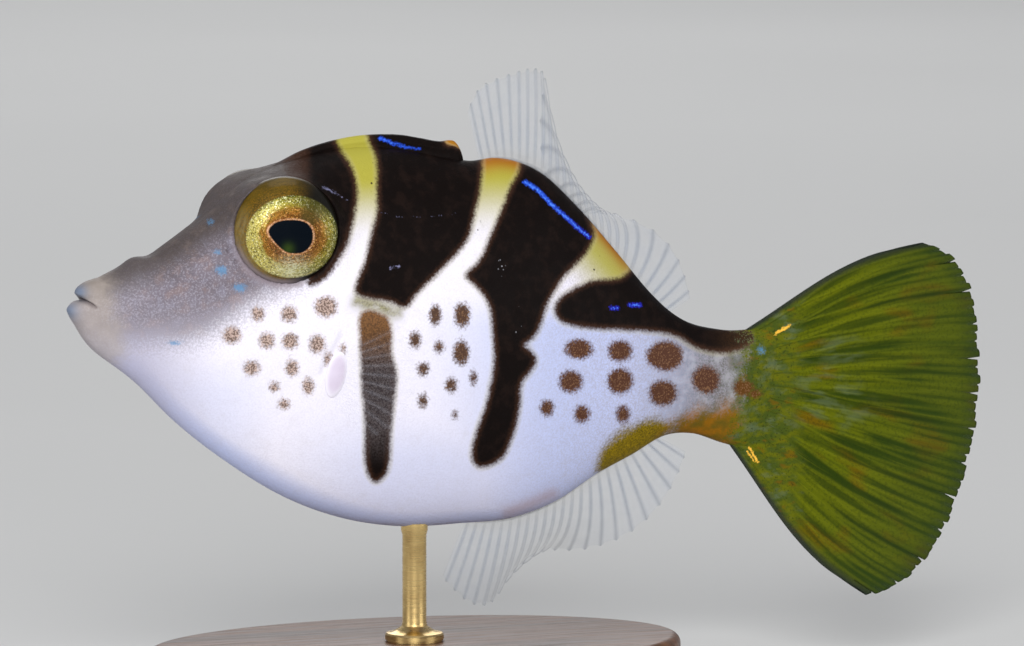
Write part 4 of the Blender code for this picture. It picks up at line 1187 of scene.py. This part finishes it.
def markings(points, chart):
    """Masks of the body's markings, for points of the body and their places on the chart."""
    across, down = chart.T
    x, up = points[:, 0], points[:, 2]
    aside = {name: ramp(across, *fade) for name, fade in FADES_ACROSS.items()}
    below = {name: ramp(down, *fade) for name, fade in FADES_DOWN.items()}

    def within(span):
        return (across >= span[0]) & (across < span[1])

    depths = [depth_inside(chart, outline) for outline in DARK_OUTLINES]
    nape_edge = (across - NAPE_EDGE) * NAPE_SLOPES[0] + np.maximum(across - NAPE_BEND, 0) * NAPE_SLOPES[1]
    depths.append(np.minimum(depth_inside(chart, NAPE_PATCH), nape_edge))
    band = depth_inside(chart, FRONT_BAND) > BAND_MARGIN
    rear_bar = 0.95 * ramp((chart - REAR_BAR_CORNER) @ REAR_BAR_SLOPE, *REAR_BAR_FADE)
    bars = (
        below["front bar"] * within(FRONT_BAR), below["middle bar"] * within(MIDDLE_BAR),
        rear_bar * within(REAR_BAR) * (down < REAR_BAR_LOWEST),
    )
    below_back, above_belly = curve(BACK_LINE, x) - up, up - curve(BELLY_LINE, x)
    ember = bell(below_back, EMBER_DEPTH + EMBER_DEEPENING * ramp(x, *EMBER_DEEPENS))
    ember = ember * ramp(x, *EMBER_START) * ramp(x, *EMBER_END)
    lips = [bell(np.hypot(across - place, down - level), width) for place, level, width in LIP_SPOTS]
    return {
        "saddle": np.max(depths, axis=0),
        "halo": 0.3 * aside["halo"],
        "rusty": np.maximum(band * below["rusty band"], 0.16 * aside["rear rust"] * (down > REAR_RUST_TOP)),
        "dusty": 0.75 * band * below["dusty band"] * below["dusty foot"],
        "gap": bell(line_distance(chart, GAP_LINE), GAP_WIDTH),
        "spot": depth_in_spots(chart, CHEEK_SPOTS + FLANK_SPOTS),
        "spot_pale": aside["pale spots"],
        "warm": aside["warm spots"],
        "snout": ramp(depth_inside(chart, SNOUT_PATCH), *SNOUT_FADE),
        # darker along the top of the head: partly the skin's own colour, partly painted shade at the top
        "crown": np.maximum(0.82 * ramp(below_back, *CROWN_DEPTH), 0.9 * below["crown"] * aside["crown"]),
        "fore": np.maximum(0.5 * aside["snout tip"], 0.45 * below["chin"]),
        "bar": np.max(bars, axis=0),
        "ember": np.maximum(ember, 0.30 * bell(line_distance(chart, VENT_LINE), VENT_WIDTH)),
        "cool": np.max((
            0.85 * ramp(above_belly, *COOL_BELLY_DEPTH), 0.85 * aside["cool flank"] * below["cool flank"],
            0.45 * aside["cool belly"] * below["cool belly"],
            0.3 * aside["cool cheek"] * below["cool cheek"],
        ), axis=0),
        "throat": 0.85 * aside["throat"],
        "dusky": 0.95 * aside["dusky"],
        "grainy": 0.10 + 0.55 * aside["grainy"],
        "muzzle": ramp(depth_inside(chart, MUZZLE_PATCH), *MUZZLE_FADE),
        "lips": 0.8 * np.max(lips, axis=0),
        "yellow": depth_inside(chart, YELLOW_PATCH),
        "rust": depth_inside(chart, RUST_PATCH),
        "leaf": ramp(x + LEAF_LEAN * (LEAF_LEVEL - up), *LEAF_FADE),
        "blue": depth_on_lines(chart, BLUE_LINES),
        "violet": aside["violet"],
        "pale": depth_on_lines(chart, PALE_LINES),
        "fleck": depth_in_spots(chart, BLUE_FLECKS),
        "pores": ramp(nearest_line(chart, PORE_LINES), *PORE_FADE),
        "dots": ramp(nearest_line(chart, DOT_LINES), *DOT_FADE),
        **dict.fromkeys(("rim", "mouth", "opening_shade"), 0 * across),
    }


def build_skin(material):
    """One skin over the head, lips, torso and tail stalk, with its markings as masks."""
    piece, share, turn = add_ball("skin", SKIN_TURNS, SKIN_RINGS)
    points = skin_points(share, turn)
    chart = on_chart(points)
    rim = sink_eye_pockets(points)
    mouth, opening_shade = cut_openings(points)
    put_places(piece, points)
    turn_outwards(piece)
    masks = markings(points, chart)
    masks["rim"] = RIM_SHADE * rim * ramp(chart[:, 1], *RIM_FADE)
    # painted shade in the mouth slit and the openings
    masks["mouth"] = MOUTH_SHADE * mouth
    masks["opening_shade"] = OPENING_SHADE * opening_shade
    add_masks(piece, masks)
    finish_piece(piece, material, "body_skin", "head", "upper_lip", "lower_lip", "torso",
                 "tail_stalk")


def pupil_depth(back, up):
    """Below 0 inside the pupil, a rounded square that narrows downwards, and above 0 outside it."""
    level = (up - PUPIL_PLACE[1]) / PUPIL_SIZE[1]
    narrow = 1 - PUPIL_NARROWING * ramp(level, *PUPIL_NARROWS)
    ahead = (back - PUPIL_PLACE[0]) / PUPIL_SIZE[0] / narrow - PUPIL_LEAN * ramp(level, *PUPIL_LEANS)
    level = level * np.where(level > 0, PUPIL_FLATTENING, 1.0)
    reach = np.abs(ahead) ** PUPIL_SQUARENESS + np.abs(level) ** PUPIL_SQUARENESS
    return reach ** (1 / PUPIL_SQUARENESS) - 1


def build_eye(side, name, material):
    """An eye turned from its half outline, with the gaze a little back and down."""
    piece, share, turn = add_ball(name, EYE_TURNS, EYE_ROWS)
    profile = np.array(EYE_PROFILE, float)
    run = np.concatenate(((0,), np.cumsum(np.linalg.norm(np.diff(profile, axis=0), axis=1))))
    radius = np.maximum(curve(np.stack((run, profile[:, 0]), 1), share * run[-1]), 0)
    outward = curve(np.stack((run, profile[:, 1]), 1), share * run[-1])
    middle, out, behind, upward = eye_axes(side)
    back, up = radius * np.cos(turn), radius * np.sin(turn)
    put_places(piece, middle + outward[:, None] * out + back[:, None] * behind + up[:, None] * upward)
    turn_outwards(piece)

    back, up = back - GAZE[0], up - GAZE[1]
    around = np.arctan2(up, back)
    iris_share = np.hypot(back / IRIS_SIZE[0], up / IRIS_SIZE[1])

    masks = {
        "iris_share": iris_share,
        "pupil": pupil_depth(back, up),
        "eye_out": np.where(outward > 0, radius, EYE_RADIUS),
        # painted shade where the eye dips into its pocket under the skin's rim
        "wall": 0.85 * ramp(outward, *WALL_SHADE_FADE),
    }
    for key, (amount, degrees, *fade) in EYE_SIDES.items():
        masks[key] = amount * ramp(np.cos(around - math.radians(degrees)), *fade)
    for key, (amount, place, width, squash) in EYE_REFLECTIONS.items():
        masks[key] = amount * bell(np.hypot((back - place[0]) * squash, up - place[1]), width)
    masks["low_edge"] *= ramp(radius, *LOW_EDGE_FADE)
    add_masks(piece, masks)
    swirl = np.stack((np.cos(around) * SWIRL[0], np.sin(around) * SWIRL[0], iris_share * SWIRL[1]), 1)
    layer = piece.data.attributes.new("iris", "FLOAT_VECTOR", "POINT")
    layer.data.foreach_set("vector", np.ascontiguousarray(swirl, np.float32).ravel())
    finish_piece(piece, material, "eye", name)


def build_first_dorsal(material):
    """The folded spine and its membrane: a low dark blade along the nape with a free tip."""
    piece, share, turn = add_ball("first_dorsal", *BLADE_MESH)
    first, last = SPINE_TOP[0][0], SPINE_TOP[-1][0]
    x = first + (last - first) * (1 - np.cos(share * math.pi)) / 2
    top = curve(SPINE_TOP, x)
    floor = curve(BACK_LINE, x) - SPINE_SUNK
    closing = np.sqrt(1 - np.clip((x - last + TIP_LENGTH) / TIP_LENGTH, 0, 1) ** 2)
    height = (top - floor) * (TIP_SHARE + (1 - TIP_SHARE) * closing)
    half = curve(SPINE_HALF_WIDTH, x) * np.maximum(np.sin(share * math.pi), 0) ** BLADE_END_SHARPNESS
    half = half * (1 + PLEAT_DEPTH * np.sin(turn * PLEATS) * np.sin(share * math.pi))
    aside, up = np.sin(turn), np.cos(turn)
    y = half * np.sign(aside) * np.abs(aside) ** BLADE_SQUARENESS
    z = floor + height * (0.5 + 0.5 * np.sign(up) * np.abs(up) ** BLADE_SQUARENESS)
    z = np.where((share < 1e-6) | (share > 1 - 1e-6), floor + height * 0.5, z)
    points = np.stack((x, y, z), 1)
    put_places(piece, points)
    turn_outwards(piece)
    masks = markings(points, on_chart(points))
    tip = ramp(x, *TIP_FADE) * bell(z - top, TIP_DEPTH)
    masks["saddle"] = np.minimum(masks["saddle"], BLADE_DARK) - TIP_LIGHT * tip
    masks["ember"] = 0.9 * ramp(x, *TIP_EMBER)
    add_masks(piece, masks)
    finish_piece(piece, material, "dark_skin", "first_dorsal_fin")


def ridge_of(across, rays):
    """1 on the middle of each unbranched ray and 0 between two of them."""
    phase = across * rays - 0.5
    return bell(phase - np.round(phase), RAY_WIDTH)


def ray_direction(lean, sway, upward):
    """Unit vectors along rays from their lean back and their sway to the right, in degrees."""
    lean, sway = np.radians(lean), np.radians(sway)
    return np.stack((np.sin(lean) * np.cos(sway), np.sin(sway), upward * np.cos(lean) * np.cos(sway)), 1)


def build_clear_fin(name, node, rays, rows, middle, root_shade, material, settings):
    """A thin sheet with tapering rays, laid along the middle surface that a function gives."""
    piece, across, along, side = add_sheet(name, rays * FIN_COLUMNS_PER_RAY, rows)
    ridge = ridge_of(across, rays)
    wall = settings.membrane / MM + ridge * settings.ray / MM * (1 - RAY_TAPER * along)
    shape_sheet(piece, across, along, side, middle, wall)
    add_masks(piece, {"ray": ridge, "reach": along, "fin_root_shade": root_shade * ramp(along, *ROOT_FADE)})
    finish_piece(piece, material, "clear_fin", node)


def build_median_fin(name, node, line, base, rays, length, lean, sway, upward, material, settings):
    """A clear soft fin along the back (upward 1) or the belly (-1), its rays swung like a wave."""

    def middle(share, out):
        x = base[0] + (base[1] - base[0]) * share
        root = np.stack((x, 0 * x, curve(line, x) + upward * FIN_CLEARANCE), 1)
        reach = curve(length, share) * (1 - MEDIAN_NOTCH * (1 - ridge_of(share, rays)))
        distance = (reach + FIN_SUNK) * out - FIN_SUNK
        bend = np.maximum(distance / reach, 0)[:, None]
        straight = ray_direction(curve(lean, share), SWAY_AT_ROOT * curve(sway, share), upward)
        swung = ray_direction(curve(lean, share), SWAY_AT_TIP * curve(sway, share), upward)
        direction = straight * (1 - bend) + swung * bend
        return root + direction / np.linalg.norm(direction, axis=1)[:, None] * distance[:, None]

    build_clear_fin(name, node, rays, FIN_ROWS, middle, MEDIAN_ROOT_SHADE, material, settings)


def pectoral_base(share):
    """Place along a pectoral fin's base, as (along, up), by share from its upper end."""
    upper, lower = PECTORAL_BASE
    return upper[0] + (lower[0] - upper[0]) * share, upper[1] + (lower[1] - upper[1]) * share


def build_pectoral_fin(name, side_sign, material, settings):
    """A clear fan of rays that grows from its lobe behind the gill slit."""

    def middle(share, out):
        x, z = pectoral_base(share)
        root = np.stack((x, side_sign * (side_at(x, z) + PECTORAL_OFFSET), z), 1)
        angle = np.radians(PECTORAL_SPREAD[0] * (1 - share) + PECTORAL_SPREAD[1] * share)
        ahead = np.stack((
            np.cos(angle) * math.cos(PECTORAL_OUT), np.full_like(x, side_sign * math.sin(PECTORAL_OUT)),
            np.sin(angle) * math.cos(PECTORAL_OUT),
        ), 1)
        length = curve(PECTORAL_LENGTH, share) * (1 - PECTORAL_NOTCH * (1 - ridge_of(share, PECTORAL_RAYS)))
        bow = np.stack((0 * x, side_sign * PECTORAL_BOW * out * (1 - out), 0 * x), 1)
        return root + ahead * (length * out)[:, None] + bow

    build_clear_fin(f"pectoral_{name}", f"pectoral_fin_{name}", PECTORAL_RAYS, PECTORAL_ROWS, middle, 0,
                    material, settings)


def build_pectoral_lobe(name, side_sign, material):
    """The flat fleshy lobe that a pectoral fin grows from."""
    piece, share, turn = add_ball(f"pectoral_lobe_{name}", *LOBE_MESH)
    polar = share * math.pi
    ball = np.stack((np.sin(polar) * np.cos(turn), np.sin(polar) * np.sin(turn), np.cos(polar)), 1)
    ball *= LOBE_HALF
    middle = pectoral_base(0.5)
    x = ball[:, 0] * math.cos(LOBE_TURN) - ball[:, 2] * math.sin(LOBE_TURN) + middle[0]
    z = ball[:, 0] * math.sin(LOBE_TURN) + ball[:, 2] * math.cos(LOBE_TURN) + middle[1]
    y = side_sign * (side_at(x, z) + LOBE_OFFSET) + ball[:, 1]
    put_places(piece, np.stack((x, y, z), 1))
    turn_outwards(piece)
    add_masks(piece, {"edge": ramp(np.abs(ball[:, 1]) / LOBE_HALF[1], *LOBE_EDGE_FADE)})
    finish_piece(piece, material, "body_skin")


def branch_ridge(across, along):
    """Ridges of rays that fork twice on their way out."""
    phase = across * FAN_RAYS - np.floor(across * FAN_RAYS) - 0.5
    first, second = ramp(along, *FIRST_FORK), ramp(along, *SECOND_FORK)
    twigs = [
        bell(phase - fork * first - twig * second, TWIG_WIDTH)
        for fork in (-0.25, 0.25) for twig in (-0.125, 0.125)
    ]
    return np.max(twigs, axis=0)


def build_tail(settings):
    """A wide fan of forked rays with a notched, ragged rear edge."""
    piece, across, along, side = add_sheet("tail", FAN_RAYS * FAN_COLUMNS_PER_RAY, FAN_ROWS)
    centre, spread = (FAN_TOP + FAN_BOTTOM) / 2, (FAN_TOP - FAN_BOTTOM) / 2
    twigs = FAN_RAYS * FAN_TWIGS
    ragged = np.random.default_rng(RAGGED_SEED).uniform(-1, 1, twigs + 1)

    def ragged_at(place):
        return ragged[np.clip(place, 0, twigs).astype(int)]

    def off_fold(share):
        """How far a place is from the fold between two rays, in ray widths."""
        return np.abs(share * FAN_RAYS - np.round(share * FAN_RAYS))

    def middle(share, out):
        swell = 1 + FAN_EDGE_SWELL * np.sin(math.pi * np.clip(out, 0, 1))
        angle = np.radians(centre + spread * (1 - 2 * share) * swell)
        ray = np.stack((np.cos(angle), 0 * angle, np.sin(angle)), 1)
        twig = share * twigs
        depth = 0.5 + 0.5 * ragged_at(np.round(twig))
        notch = RAY_NOTCH * bell(off_fold(share), NOTCH_WIDTH)
        notch = notch + TWIG_NOTCH * bell(twig - np.round(twig), TWIG_NOTCH_WIDTH)
        notch = depth * notch + TWIG_STEP * ragged_at(np.floor(twig))
        end = curve(FAN_RADIUS, share) * (1 - notch * ramp(out, *NOTCH_RISE))
        start = FAN_START / np.cos(angle - FAN_START_TURN)
        places = np.array((FAN_PIVOT[0], 0, FAN_PIVOT[1])) + ray * (start + (end - start) * out)[:, None]
        places[:, 1] = FAN_BEND * out**2 * np.sin(math.pi * (share * FAN_WAVES + FAN_WAVE_START))
        return places

    ridge = branch_ridge(across, along)
    rounded = np.sin(math.pi * np.clip(across, *FAN_ROOT_SIDES)) ** FAN_ROOT_ROUNDNESS
    wall = FAN_WALL + (FAN_ROOT_WALL - FAN_WALL) * rounded * ramp(along, *FAN_ROOT_FADE)
    wall = wall * (1 - FAN_TAPER * along) + FAN_RAY_HEIGHT * ridge * (1 - FAN_RAY_TAPER * along)
    shape_sheet(piece, across, along, side, middle, wall)
    chart = on_chart(middle(across, along))
    folds = FOLD_SHADE + FOLD_SPREAD * ragged_at(np.round(across * FAN_RAYS))
    outer = {name: ramp(along, *fade) for name, fade in FAN_FADES.items()}
    sides = {
        name: np.maximum(ramp(across, *upper), ramp(across, *lower))
        for name, (upper, lower) in FAN_SIDE_FADES.items()
    }
    add_masks(piece, {
        "ray": ridge,
        "share": across,
        "reach": along,
        "milky": 0.42 * ramp(depth_in_spots(chart, MILKY_SPOTS), *MILKY_FADE),
        "root": ramp(chart[:, 0], *TAIL_ROOT_FADE),
        "fold": folds * bell(off_fold(across), FOLD_WIDTH) * outer["fold"],
        "margin": 0.45 * outer["margin"] + 0.3 * outer["rim"],
        "dusk": 0.9 * sides["dusk"],
        "thin": np.maximum(outer["thin"], sides["thin"]),
        "glint": depth_on_lines(chart, GLINT_LINES),
    })
    finish_piece(piece, tail_material(settings), "green_fin", "tail_fin")


def build_base(settings):
    """The oval wooden base, its upper edge bevelled and its lower edge less so."""
    length, depth, height = (size * MM for size in BASE_SIZE)
    base = add_piece("base", bpy.ops.mesh.primitive_cylinder_add, vertices=settings.sides,
                     radius=length / 2, depth=height, location=(0, 0, height / 2),
                     scale=(1, depth / length, 1))
    bpy.ops.object.transform_apply(location=True, rotation=True, scale=True)
    edge = base.modifiers.new("edge", "BEVEL")
    edge.width = BASE_EDGE * MM
    edge.segments = BASE_EDGE_STEPS
    edge.limit_method = "ANGLE"
    bpy.ops.object.modifier_apply(modifier=edge.name)
    places = places_of(base) / MM
    low = places[:, 2] < BASE_SIZE[2] / 2
    places[:, 2] = np.where(low, places[:, 2] * BASE_LOWER_EDGE, places[:, 2])
    put_places(base, places)
    bpy.ops.object.shade_smooth_by_angle(angle=BASE_CREASE)
    finish_piece(base, wood_material(settings), "stand_wood", "stand_base")


def build_rod(settings):
    """The brass rod with its collar, drawn up from a thin disc ring by ring."""
    foot = BASE_SIZE[2] + ROD_GAP
    crown = float(curve(BELLY_LINE, 0.0)) + ROD_SUNK
    outline = [(foot + up, radius) for up, radius in COLLAR_OUTLINE]
    outline += [(crown + up, radius) for up, radius in ROD_HEAD]
    radius = outline[0][1]
    rod = add_piece("rod", bpy.ops.mesh.primitive_cylinder_add, vertices=ROD_SIDES, radius=radius * MM,
                    depth=ROD_DISC * MM, location=(0, 0, (foot + ROD_DISC / 2) * MM))
    bpy.ops.object.transform_apply(location=True, rotation=True, scale=True)
    bpy.ops.object.mode_set(mode="EDIT")
    bpy.ops.mesh.select_mode(type="FACE")
    bpy.ops.mesh.select_all(action="DESELECT")
    bpy.ops.object.mode_set(mode="OBJECT")
    max(rod.data.polygons, key=lambda face: face.center.z).select = True
    bpy.ops.object.mode_set(mode="EDIT")
    at = foot + ROD_DISC
    for up, wide in outline[1:]:
        bpy.ops.mesh.extrude_region_move(TRANSFORM_OT_translate={"value": (0, 0, (up - at) * MM)})
        bpy.ops.transform.resize(value=(wide / radius, wide / radius, 1))
        at, radius = up, wide
    bpy.ops.object.mode_set(mode="OBJECT")
    bpy.ops.object.shade_smooth_by_angle(angle=ROD_CREASE)
    finish_piece(rod, brass_material(settings), "stand_brass", "stand_rod")


def add_to_stage(name, data, place, back):
    """Adds a lamp or the camera at a place, looking the other way from a vector."""
    item = bpy.data.objects.new(name, data)
    bpy.context.scene.collection.objects.link(item)
    item.location = place
    item.rotation_mode = "QUATERNION"
    item.rotation_quaternion = Vector(back).to_track_quat("Z", "Y")
    return item


def build_stage(settings):
    """Floor, soft lamps, an even pale surround and the photograph's camera."""
    floor = add_piece("floor", bpy.ops.mesh.primitive_circle_add, vertices=FLOOR_SIDES,
                      radius=settings.floor, fill_type="NGON")
    floor.data.materials.append(floor_material())
    aim = np.array(CAMERA_AIM) * MM
    for name, place, size, power in LAMPS:
        lamp = bpy.data.lights.new(name, "AREA")
        lamp.shape = "DISK"
        lamp.size = size
        lamp.energy = power * settings.light
        add_to_stage(name, lamp, aim + place, place)
    world = bpy.data.worlds.new("surround")
    world.use_nodes = True
    background = world.node_tree.nodes["Background"].inputs
    background["Color"].default_value = (*SURROUND_COLOUR, 1)
    background["Strength"].default_value = SURROUND_STRENGTH
    bpy.context.scene.world = world
    back, _, _ = camera_axes()
    view = bpy.data.cameras.new("camera")
    view.lens = settings.lens
    view.sensor_width = SENSOR_WIDTH
    view.clip_start, view.clip_end = CLIP_RANGE
    bpy.context.scene.camera = add_to_stage("camera", view, aim + back * settings.distance, back)
    bpy.context.scene.view_settings.view_transform = "Standard"


class FILEFISH_OT_skin(bpy.types.Operator):
    """Models the skin of the head, body and tail stalk with the folded first dorsal fin on it"""

    bl_idname = "filefish.skin"
    bl_label = "Skin"

    def execute(self, context):
        material = skin_material(context.scene.filefish_skin)
        build_skin(material)
        build_first_dorsal(material)
        return {"FINISHED"}


class FILEFISH_OT_eyes(bpy.types.Operator):
    """Models both eyes"""

    bl_idname = "filefish.eyes"
    bl_label = "Eyes"

    def execute(self, context):
        material = eye_material(context.scene.filefish_eyes)
        build_eye(-1, "eye_left", material)
        build_eye(1, "eye_right", material)
        return {"FINISHED"}


class FILEFISH_OT_clear_fins(bpy.types.Operator):
    """Models the soft dorsal, anal and pectoral fins"""

    bl_idname = "filefish.clear_fins"
    bl_label = "Clear fins"

    def execute(self, context):
        settings = context.scene.filefish_fins
        clear = clear_fin_material(settings, "clear_fin", *CLEAR_LOOK)
        milky = clear_fin_material(settings, "milky_fin", *MILKY_LOOK)
        build_median_fin("soft_dorsal", "dorsal_fin", BACK_LINE, DORSAL_BASE, DORSAL_RAYS, DORSAL_LENGTH,
                         DORSAL_LEAN, DORSAL_SWAY, 1, clear, settings)
        build_median_fin("anal", "anal_fin", BELLY_LINE, ANAL_BASE, ANAL_RAYS, ANAL_LENGTH,
                         ANAL_LEAN, ANAL_SWAY, -1, clear, settings)
        flesh = lobe_material()
        for name, side_sign in (("left", -1), ("right", 1)):
            build_pectoral_fin(name, side_sign, milky, settings)
            build_pectoral_lobe(name, side_sign, flesh)
        return {"FINISHED"}


class FILEFISH_OT_tail(bpy.types.Operator):
    """Models the tail fin with its forked rays"""

    bl_idname = "filefish.tail"
    bl_label = "Tail fin"

    def execute(self, context):
        build_tail(context.scene.filefish_fins)
        return {"FINISHED"}


class FILEFISH_OT_stand(bpy.types.Operator):
    """Models the wooden base and the brass rod"""

    bl_idname = "filefish.stand"
    bl_label = "Stand"

    def execute(self, context):
        build_base(context.scene.filefish_stand)
        build_rod(context.scene.filefish_stand)
        return {"FINISHED"}


class FILEFISH_OT_stage(bpy.types.Operator):
    """Sets up the floor, the lamps and the camera"""

    bl_idname = "filefish.stage"
    bl_label = "Stage"

    def execute(self, context):
        build_stage(context.scene.filefish_stage)
        return {"FINISHED"}


OPERATORS = (
    FILEFISH_OT_skin, FILEFISH_OT_eyes, FILEFISH_OT_clear_fins, FILEFISH_OT_tail, FILEFISH_OT_stand,
    FILEFISH_OT_stage,
)
SETTINGS = {
    "filefish_skin": SkinSettings, "filefish_eyes": EyeSettings, "filefish_fins": FinSettings,
    "filefish_stand": StandSettings, "filefish_stage": StageSettings,
}


class FILEFISH_PT_panel(bpy.types.Panel):
    """Lists the steps and the settings of the model"""

    bl_label = "Filefish"
    bl_idname = "FILEFISH_PT_panel"
    bl_space_type = "VIEW_3D"
    bl_region_type = "UI"
    bl_category = "Filefish"

    def draw(self, context):
        for operator in OPERATORS:
            self.layout.operator(operator.bl_idname)
        for name, group in SETTINGS.items():
            box = self.layout.box()
            for key in group.__annotations__:
                box.prop(getattr(context.scene, name), key)


CLASSES = (*SETTINGS.values(), *OPERATORS, FILEFISH_PT_panel)


def register():
    for item in CLASSES:
        bpy.utils.register_class(item)
    for name, group in SETTINGS.items():
        setattr(bpy.types.Scene, name, PointerProperty(type=group))


def unregister():
    for name in SETTINGS:
        delattr(bpy.types.Scene, name)
    for item in reversed(CLASSES):
        bpy.utils.unregister_class(item)


def main():
    register()
    for operator in OPERATORS:
        family, step = operator.bl_idname.split(".")
        getattr(getattr(bpy.ops, family), step)()


if __name__ == "__main__":
    main()
